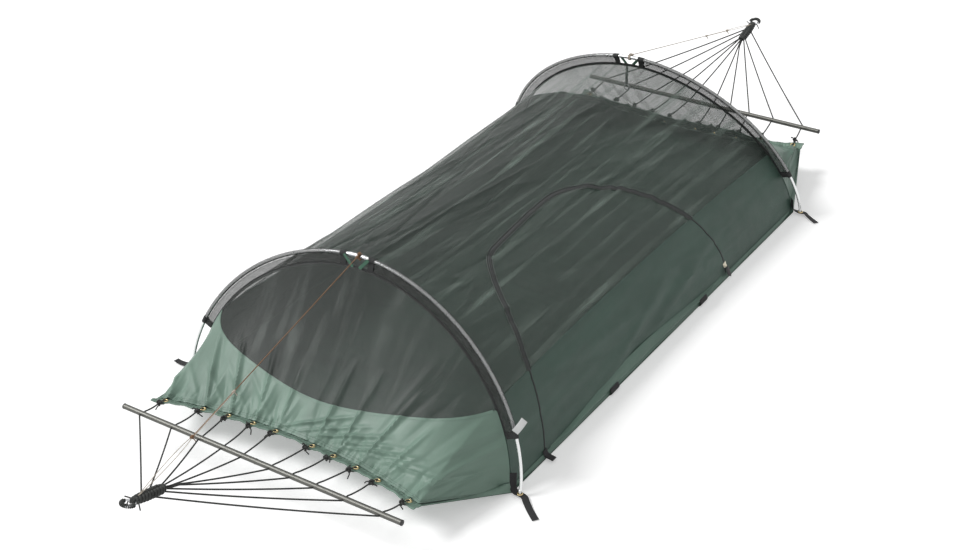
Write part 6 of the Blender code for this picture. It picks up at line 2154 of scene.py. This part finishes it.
@dataclass
class SpreaderBar:
    """A two-piece tube that spreads the ten cords of one end."""

    finishes: Finishes
    end: End
    y: float = 1.233
    rise: float = 0.125
    half: float = 0.459
    radius: float = 0.0075
    bore: float = 0.0063
    hole: float = 0.0028

    def drilled(self, tube: Object, side: Side) -> None:
        """Cuts the cord holes through a tube half and applies the cut."""
        drill = Draft()
        for x in SHAPE.hole_places:
            centre = vec(side.value * x, self.end.value * self.y, self.rise)
            reach = vec(0.0, 0.03, 0.0)
            drill.tube(np.array([centre - reach, centre, centre + reach]), self.hole, 20)
        tool = drill.piece("drill", self.finishes.bar)
        cut = tube.modifiers.new("Holes", "BOOLEAN")
        cut.operation, cut.object, cut.solver = "DIFFERENCE", tool, "EXACT"
        mesh = bpy.data.meshes.new_from_object(tube.evaluated_get(bpy.context.evaluated_depsgraph_get()))
        tube.modifiers.remove(cut)
        tube.data = mesh
        bpy.data.objects.remove(tool)
        mesh.shade_smooth()
        mesh.set_sharp_from_angle(angle=math.radians(35))

    def build(self, dress: Dresser) -> None:
        """Makes the tube halves, their joint collar and their end plugs."""
        label = self.end.label
        middle = (0.0, self.end.value * self.y, self.rise)
        for side in Side:
            stop = self.half - 0.0033
            outer, inner, lip = self.radius, self.bore, 0.0004
            profile = [(inner, 0.0002), (outer - lip, 0.0002), (outer, 0.0002 + lip)]
            profile += [(outer, x) for x in np.linspace(0.03, stop - 0.01, 12)]
            profile += [(outer, stop - lip), (outer - lip, stop), (inner, stop)]
            half = Draft().turned(profile, middle, (side.value, 0, 0), 40)
            piece = half.piece(f"bar_tube_{label}_{side.label}", self.finishes.bar, 30.0)
            self.drilled(piece, side)
            dress.fit(piece, "tent", "bar_tube", f"bar_{label}_{side.label}")
            r, h = self.radius, self.half
            plug = [(0.0003, h - 0.014), (inner * 0.86, h - 0.014), (inner * 0.97, h - 0.0115)]
            plug += [(inner * 0.97, h - 0.0035), (r + 0.0004, h - 0.0033), (r + 0.0005, h - 0.0016)]
            plug += [(r, h - 0.0006), (r - 0.0012, h), (r * 0.5, h + 0.0001), (0.0003, h - 0.0002)]
            cap = Draft().turned(plug, middle, (side.value, 0, 0), 36)
            piece = cap.piece(f"bar_plug_{label}_{side.label}", self.finishes.plastic)
            dress.fit(piece, "tent", "black_plastic", f"bar_cap_{label}_{side.label}")
        low, high = self.radius + 0.0001, self.radius + 0.0006
        ring = [(low, -0.0016), (high, -0.0012), (high, 0.0012), (low, 0.0016)]
        collar = Draft().turned(ring, middle, (1, 0, 0), 40)
        dress.fit(collar.piece(f"bar_collar_{label}", self.finishes.bar), "tent", "bar_tube")


@dataclass
class Suspension:
    """Ten cords from the hem through the bar to the plaited clew and its ring."""

    finishes: Finishes
    end: End
    cord: float = 0.0022
    knot_cord: float = 0.0026
    loop_cord: float = 0.0017
    stem: float = 0.0250
    clear: float = 0.0090
    plait_cord: float = 0.0040
    plait_turns: float = 2.6
    whipping_cord: float = 0.0018
    eye_radius: float = 0.0059
    ring_radius: float = 0.0165
    binding_span: float = 0.56 * math.pi
    entries: tuple[float, ...] = (0.62, 0.40, 0.12, 0.04, 0.0, -0.02, -0.02, 0.05, 0.12, 0.55)

    def knot(self, draft: Draft, place: Array, way: Array, turn: float) -> None:
        """Adds a pulled-down overhand knot with two short tails.

        Args:
            draft: The draft that takes it.
            place: Its middle.
            way: The cord's direction through it.
            turn: Its turn about the cord.
        """
        side = unit(np.cross(way, (math.sin(turn), 0.2, math.cos(turn))))
        up = np.cross(way, side)
        t = full_turn(48)
        loops = np.stack(
            [np.sin(t) + 2 * np.sin(2 * t), np.cos(t) - 2 * np.cos(2 * t), -1.3 * np.sin(3 * t)], axis=1
        )
        line = place + 0.0023 * (loops[:, :1] * side + loops[:, 1:2] * up) + 0.0030 * loops[:, 2:3] * way
        draft.tube(line, self.knot_cord, 8, closed=True)
        for sign, length in ((1, 0.014), (-1, 0.010)):
            start = place + side * sign * 0.0050
            steps = ((0, 0, 0, 0), (0.5, 0.002, 0, 0), (0.8, 0.001, 0.003, 0.003), (0.9, 0, 0.008, 0.006))
            route = [
                start + side * sign * length * share + up * lift - UP * drop + way * on * sign
                for share, lift, drop, on in steps
            ]
            draft.tube(curved(np.array(route), 14), [self.loop_cord] * 12 + [0.0020, 0.0012], 8)

    def route(self, index: int) -> tuple[Array, Array, Array, Array]:
        """One cord's stretches for the far end.

        Args:
            index: Which cord, from the left.

        Returns:
            The stretch at the eyelet, the stretch to the bar and on to the clew, the knot and its direction.
        """
        spot, hole = SHAPE.eyelets[index], SHAPE.holes[index]
        eyelet = SHAPE.hem_point(End.FAR, spot, SHAPE.eyelet_inset)
        up = SHAPE.hem_normal(End.FAR)
        out = vec(0.0, math.cos(SHAPE.band_slope), math.sin(SHAPE.band_slope))
        lean = (hole - spot) * self.stem / (SpreaderBar.y - eyelet[1])
        knot = eyelet + out * self.stem + up * 0.0040 + vec(lean, 0, 0)
        bar = vec(hole, SpreaderBar.y, SpreaderBar.rise)
        way = unit(bar - knot)
        loop = [knot - way * 0.003, eyelet + out * 0.0125 + up * 0.0060, eyelet + up * 0.0046 + out * 0.001]
        loop += [eyelet - out * 0.0005, eyelet - up * 0.0046 + out * 0.002]
        loop += [eyelet + out * 0.0150 - up * 0.0035, knot - way * 0.002 - up * 0.002]
        column, row = (index - 4.5) / 4.5, 0.0038 if index % 2 else -0.0038
        share = self.entries[index]
        size = 0.0110 if share < 0.3 else 0.0095
        target = SHAPE.clew(share) + vec(column * size, 0.0, row * (0.6 if share < 0.3 else 0.2))
        slack = 0.0022 + 0.0012 * math.sin(index * 2.4)
        before, after = bar - self.clear * ALONG, bar + self.clear * ALONG
        inner = [knot + way * 0.003, knot * 0.6 + before * 0.4 - UP * slack]
        inner += [knot * 0.22 + before * 0.78 - UP * slack * 0.6, before, bar]
        stops = [after]
        if index in (5, 6):
            stops.append(SHAPE.clew(-0.42) + vec(0.010 + 0.0044 * (index - 5.5), 0.0, -0.003))
        stops += [target, target + (SHAPE.clew(1.0) - SHAPE.clew(0.0)) * 0.06]
        outer = [bar]
        for one, two in zip(stops[:-1], stops[1:]):
            t = np.linspace(0.0, 1.0, 24)[:, None]
            sag = 0.010 * np.linalg.norm(two - one) * 4 * t * (1 - t)
            outer.extend((straight(one, two, 24) - UP * sag)[(one is not after) * 1 :])
        line = np.concatenate([curved(np.array(inner), 40), np.array(outer[1:])])
        return curved(np.array(loop), 40), line, knot, way

    def build(self, dress: Dresser) -> None:
        """Makes cords, knots, clew and ring."""
        label, flip = self.end.label, self.end.flip
        cords, knots = Draft(), Draft()
        for index in range(len(SHAPE.eyelets)):
            loop, line, knot, way = self.route(index)
            cords.tube(line * flip, self.cord, 12)
            knots.tube(loop * flip, self.loop_cord, 8)
            self.knot(knots, knot * flip, way * flip, index * 1.7 + self.end.value)
        dress.fit(cords.piece(f"cords_{label}", self.finishes.cord), "tent", "cord", f"nettles_{label}")
        dress.fit(knots.piece(f"knots_{label}", self.finishes.cord), "tent", "cord")
        self.clew(dress)
        self.ring(dress)

    def clew(self, dress: Dresser) -> None:
        """Makes the plait of thick cords, its whippings, the eye that holds the ring, and loose tails."""
        flip = self.end.flip
        axis = unit(SHAPE.clew(1.0) - SHAPE.clew(0.0))
        up = np.cross((1.0, 0.0, 0.0), axis)
        t = np.linspace(0.0, 1.0, 120)
        wide = np.interp(t, (0, 0.10, 0.60, 0.85, 1.0), (0.0060, 0.0110, 0.0110, 0.0090, 0.0064))
        deep = np.interp(t, (0, 0.10, 0.60, 0.85, 1.0), (0.0044, 0.0066, 0.0066, 0.0056, 0.0044))
        centre = np.array([SHAPE.clew(share) for share in t])
        plait = Draft()
        for k in range(4):
            phase = math.tau * (self.plait_turns * t + k / 4)
            sway, rise = wide * np.sin(phase), deep * np.sin(2 * phase + 0.3)
            line = centre + sway[:, None] * ACROSS + rise[:, None] * up
            plait.tube(line * flip, self.plait_cord, 10)
        for share, turns, radius in ((0.03, 3, 0.0086), (0.94, 3, 0.0072)):
            angle = np.linspace(0.0, math.tau * turns, 24 * turns)
            along = SHAPE.clew(share) + np.linspace(-0.5, 0.5, len(angle))[:, None] * axis * 0.0038 * turns
            size = 1.18 if share < 0.5 else 1.0
            coil = arc(along, radius, size * ACROSS, 0.88 * up, angle)
            plait.tube(coil * flip, self.whipping_cord, 8)
        eye = SHAPE.clew(1.0) - axis * 0.0038
        for off in (-0.0042, 0.0, 0.0042):
            loop = arc(eye + off * ACROSS, self.eye_radius, axis, up, full_turn(32))
            plait.tube(loop * flip, self.cord, 8, closed=True)
        tails = (
            (-0.006, 0.020, -0.012), (0.008, 0.016, -0.014), (0.002, 0.022, 0.004), (-0.009, 0.012, 0.006)
        )
        for x, reach, droop in tails:
            start = SHAPE.clew(0.90) + vec(x * 0.7, 0, 0)
            route = [start, start + vec(x, reach * 0.3, 0.003), start + vec(x * 2.2, reach * 0.7, droop)]
            plait.tube(curved(np.array(route), 10) * flip, self.loop_cord, 8)
        dress.fit(plait.piece(f"clew_{self.end.label}", self.finishes.plait), "tent", "cord")

    def ring(self, dress: Dresser) -> None:
        """Makes the welded steel ring and the cord whipped round part of it."""
        label = self.end.label
        low, high = corners(f"ring_{label}")
        axis = unit((SHAPE.clew(1.0) - SHAPE.clew(0.0)) * self.end.flip)
        angle = full_turn(72)
        middle = (low + high) / 2
        line = arc(middle, self.ring_radius, axis, ACROSS, angle)
        swell = 0.0025 + 0.0004 * np.exp(-((angle - math.pi) ** 2) / 0.01)
        ring = Draft().tube(line, swell, 18, closed=True, first=(0, 0, 1))
        piece = ring.piece(f"hang_ring_{label}", self.finishes.steel)
        dress.fit(piece, f"{label}_ring", "steel", f"ring_{label}")
        turn = np.linspace(-self.binding_span, self.binding_span, 260)
        radial = arc(np.zeros(3), 1.0, axis, ACROSS, turn)
        wrap = arc(middle + radial * self.ring_radius, 0.0042, radial, np.cross(axis, ACROSS), 24.0 * turn)
        binding = Draft().tube(wrap, 0.0016, 8)
        dress.fit(binding.piece(f"ring_binding_{label}", self.finishes.plait), f"{label}_ring", "cord")


@dataclass
class Guyline:
    """The thin line from an arch's top to the clew, doubled below its adjusting knot."""

    finishes: Finishes
    end: End
    radius: float = 0.0013

    def build(self, dress: Dresser) -> None:
        """Makes the line, its turns round the pole, and its knots."""
        flip = self.end.flip
        spot = SHAPE.top_place(self.end) + 0.006
        top = SHAPE.pole(End.FAR, np.array([SHAPE.turn_at(spot, SHAPE.arch_half_span)]))[0]
        reach = SHAPE.pole_radius + 0.0018 + self.radius
        angle = np.linspace(0.0, math.tau * 3, 90)
        aside = 0.0030 * (angle / math.tau - 1.5)
        wraps = arc(top + aside[:, None] * ACROSS, reach, ALONG, UP, angle)
        leave = math.radians(79)
        start = top + vec(0.002, reach * math.cos(leave), reach * math.sin(leave))
        low = SHAPE.clew(0.80) + vec(0.0, 0.0, 0.0081)
        way = unit(low - start)
        adjust, split = start * 0.22 + low * 0.78, start * 0.40 + low * 0.60
        line = Draft().tube(wraps * flip, self.radius, 8)
        line.tube(straight(start, adjust, 40) * flip, self.radius, 8)
        self.hitch(line, top + vec(0.001, reach * 0.4, reach + 0.0012), way, 0.0028)
        self.hitch(line, start + way * 0.012, way, 0.0021)
        self.hitch(line, adjust, way, 0.0030)
        lower = Draft()
        beside = vec(0.0022, 0.0, 0.0)
        lower.tube((straight(split, adjust, 24) + beside) * flip, 0.0010, 8)
        self.hitch(lower, split, way, 0.0020)
        for side in (-1, 1):
            t = np.linspace(0.0, 1.0, 40)
            spread = side * 0.0085 * np.sin(math.pi * t) ** 0.6 * (1 - 0.55 * t)
            points = straight(adjust, low, 40) + spread[:, None] * ACROSS
            lower.tube(points * flip, 0.0009, 8)
        label = self.end.label
        upper = self.finishes.guy_cord if self.end is End.NEAR else self.finishes.pale_guy
        for draft, name, finish in ((line, "upper", upper), (lower, "lower", self.finishes.pale_guy)):
            nodes = (f"guyline_{label}",) if name == "upper" else ()
            piece = draft.piece(f"guy_{name}_{label}", finish)
            dress.fit(piece, "tent", "guy_cord", *nodes, follows=self.end, blend=(0.70, 0.02))

    def hitch(self, draft: Draft, place: Array, way: Array, size: float) -> None:
        """Adds a barrel of turns round the line, with a short tail."""
        side = unit(np.cross(way, (1.0, 0.0, 0.0)))
        angle = np.linspace(0.0, math.tau * 4, 80)
        along = np.linspace(-1.8, 1.8, 80)[:, None] * way * self.radius * 2.0
        draft.tube(arc(place + along, size, side, ACROSS, angle) * self.end.flip, self.radius, 8)
        t = np.linspace(0.0, 1.0, 10)[:, None]
        tail = place + size * side + t * (side * 0.006 + vec(0.006, 0, 0.004)) + t**2 * vec(0.002, 0, -0.006)
        draft.tube(tail * self.end.flip, self.radius, 8)


@dataclass
class GearLoop:
    """The webbing and ring that hang from the far arch's seam."""

    finishes: Finishes
    width: float = 0.0095
    thickness: float = 0.0011
    wire: float = 0.0020

    def build(self, dress: Dresser) -> None:
        """Makes strap and ring."""
        low, high = corners("gear_strap")
        x, y = (low[0] + high[0]) / 2, (low[1] + high[1]) / 2
        drop = np.linspace(high[2], low[2] + 0.0022, 24)
        line = np.stack([np.full(24, x), y + 0.0006 * np.sin(np.linspace(0, 6, 24)), drop], axis=1)
        strap = Draft().ribbon(line + vec(0, 0.0008, 0), (1.0, 0, 0), self.width, self.thickness)
        strap.ribbon(line[8:] - vec(0, 0.0008, 0), (1.0, 0, 0), self.width, self.thickness)
        angle = np.linspace(-0.5 * math.pi, 0.5 * math.pi, 13)
        fold = arc(vec(x, y, low[2] + 0.0026), 0.0024, -UP, ALONG, angle)
        strap.ribbon(fold, (1.0, 0, 0), self.width, self.thickness)
        dress.fit(strap.piece("gear_webbing", self.finishes.webbing), "gear_loop", "webbing", "gear_strap")
        low, high = corners("gear_ring")
        angle = full_turn(48)
        radius = (high[2] - low[2]) / 2 - 0.0018
        ring = arc((low + high) / 2, radius, ACROSS, UP, angle)
        wire = Draft().tube(ring, self.wire, 14, closed=True, first=(0, 1, 0))
        dress.fit(wire.piece("gear_hoop", self.finishes.steel), "gear_loop", "steel", "gear_ring")


@dataclass
class Studio:
    """Floor, plain soft light and the camera at the photograph's angle."""

    place: tuple[float, float, float] = (2.354, -3.640, 2.664)
    pitch: float = math.radians(31.18)
    yaw: float = math.radians(34.05)
    roll: float = math.radians(-1.474)
    focal_pixels: float = 1636.4
    width_pixels: float = 978.0
    sensor: float = 36.0
    floor_reach: float = 14.0
    floor_level: float = -0.0012
    room: float = 0.41

    def camera(self) -> None:
        """Sets up the camera."""
        data = bpy.data.cameras.new("photo_camera")
        data.sensor_width = self.sensor
        data.lens = self.focal_pixels / self.width_pixels * self.sensor
        ahead = Vector((-math.sin(self.yaw), math.cos(self.yaw), 0.0))
        look = ahead * math.cos(self.pitch) - Vector((0, 0, math.sin(self.pitch)))
        level = Vector((math.cos(self.yaw), math.sin(self.yaw), 0.0))
        rise = ahead * math.sin(self.pitch) + Vector((0, 0, math.cos(self.pitch)))
        right = level * math.cos(self.roll) + rise * math.sin(self.roll)
        up = rise * math.cos(self.roll) - level * math.sin(self.roll)
        turn = Matrix((right, up, -look)).transposed()
        obj = bpy.data.objects.new("photo_camera", data)
        obj.matrix_world = Matrix.Translation(self.place) @ turn.to_4x4()
        bpy.context.scene.collection.objects.link(obj)
        bpy.context.scene.camera = obj

    def lamp(self, name: str, way: Sequence[float], strength: float, angle: float) -> None:
        """Adds one soft lamp that shines from a direction."""
        data = bpy.data.lights.new(name, "SUN")
        data.energy = strength
        data.angle = math.radians(angle)
        obj = bpy.data.objects.new(name, data)
        obj.rotation_euler = Vector(way).to_track_quat("Z", "Y").to_euler()
        bpy.context.scene.collection.objects.link(obj)

    def floor(self) -> None:
        """Lays the pale floor, which shows white round its shadow."""
        data = bpy.data.meshes.new("studio_floor")
        reach, level = self.floor_reach, self.floor_level
        corners = [(reach * x, reach * y, level) for x, y in ((-1, -1), (1, -1), (1, 1), (-1, 1))]
        data.from_pydata(corners, [], [(0, 1, 2, 3)])
        data.materials.append(FloorFinish().material())
        obj = bpy.data.objects.new("studio_floor", data)
        bpy.context.scene.collection.objects.link(obj)

    def world(self) -> None:
        """Fills the room with plain light, white to the camera."""
        world = bpy.data.worlds.new("studio_world")
        bpy.context.scene.world = world
        world.use_nodes = True
        wiring = Wiring(world.node_tree)
        back = wiring.tree.nodes["Background"].inputs
        wiring.feed(back["Color"], (1.0, 1.0, 1.0, 1.0))
        level = wiring.node("ShaderNodeMapRange", Value=wiring.seen(), To_Min=self.room, To_Max=1.0)
        wiring.feed(back["Strength"], level.outputs["Result"])

    def build(self) -> None:
        """Sets the whole studio up."""
        self.camera()
        self.floor()
        self.world()
        self.lamp("key", (-0.92, -0.55, 1.12), 2.3, 22)
        self.lamp("fill", (0.9, -0.7, 1.0), 0.20, 60)
        bpy.context.scene.view_settings.view_transform = "Standard"


def main() -> None:
    """Builds and dresses the whole tent."""
    logging.basicConfig(level=logging.INFO, format="%(name)s: %(message)s")
    Studio().build()
    finishes, dress = Finishes(), Dresser()
    stitches, teeth, eyelets = RowTree(Motif.STITCH), RowTree(Motif.TOOTH), RowTree(Motif.EYELET)
    Bed(finishes).build(dress)
    canopy = Canopy(finishes)
    canopy.build(dress, stitches)
    Zip(finishes, canopy).build(dress, stitches, teeth)
    for end in End:
        EndCloth(finishes, end).build(dress, stitches)
        Hem(finishes, end).build(dress, stitches, eyelets)
        Arch(finishes, end).build(dress, stitches)
        SpreaderBar(finishes, end).build(dress)
        Suspension(finishes, end).build(dress)
        Guyline(finishes, end).build(dress)
    Straps(finishes).build(dress, stitches)
    GearLoop(finishes).build(dress)
    for name in ("bar_spigot_near", "bar_spigot_far"):
        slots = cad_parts[name].data.materials
        slots.clear()
        slots.append(finishes.steel)
    LOG.info("%d pieces dressed", len(dress.pieces))


if __name__ == "__main__":
    main()
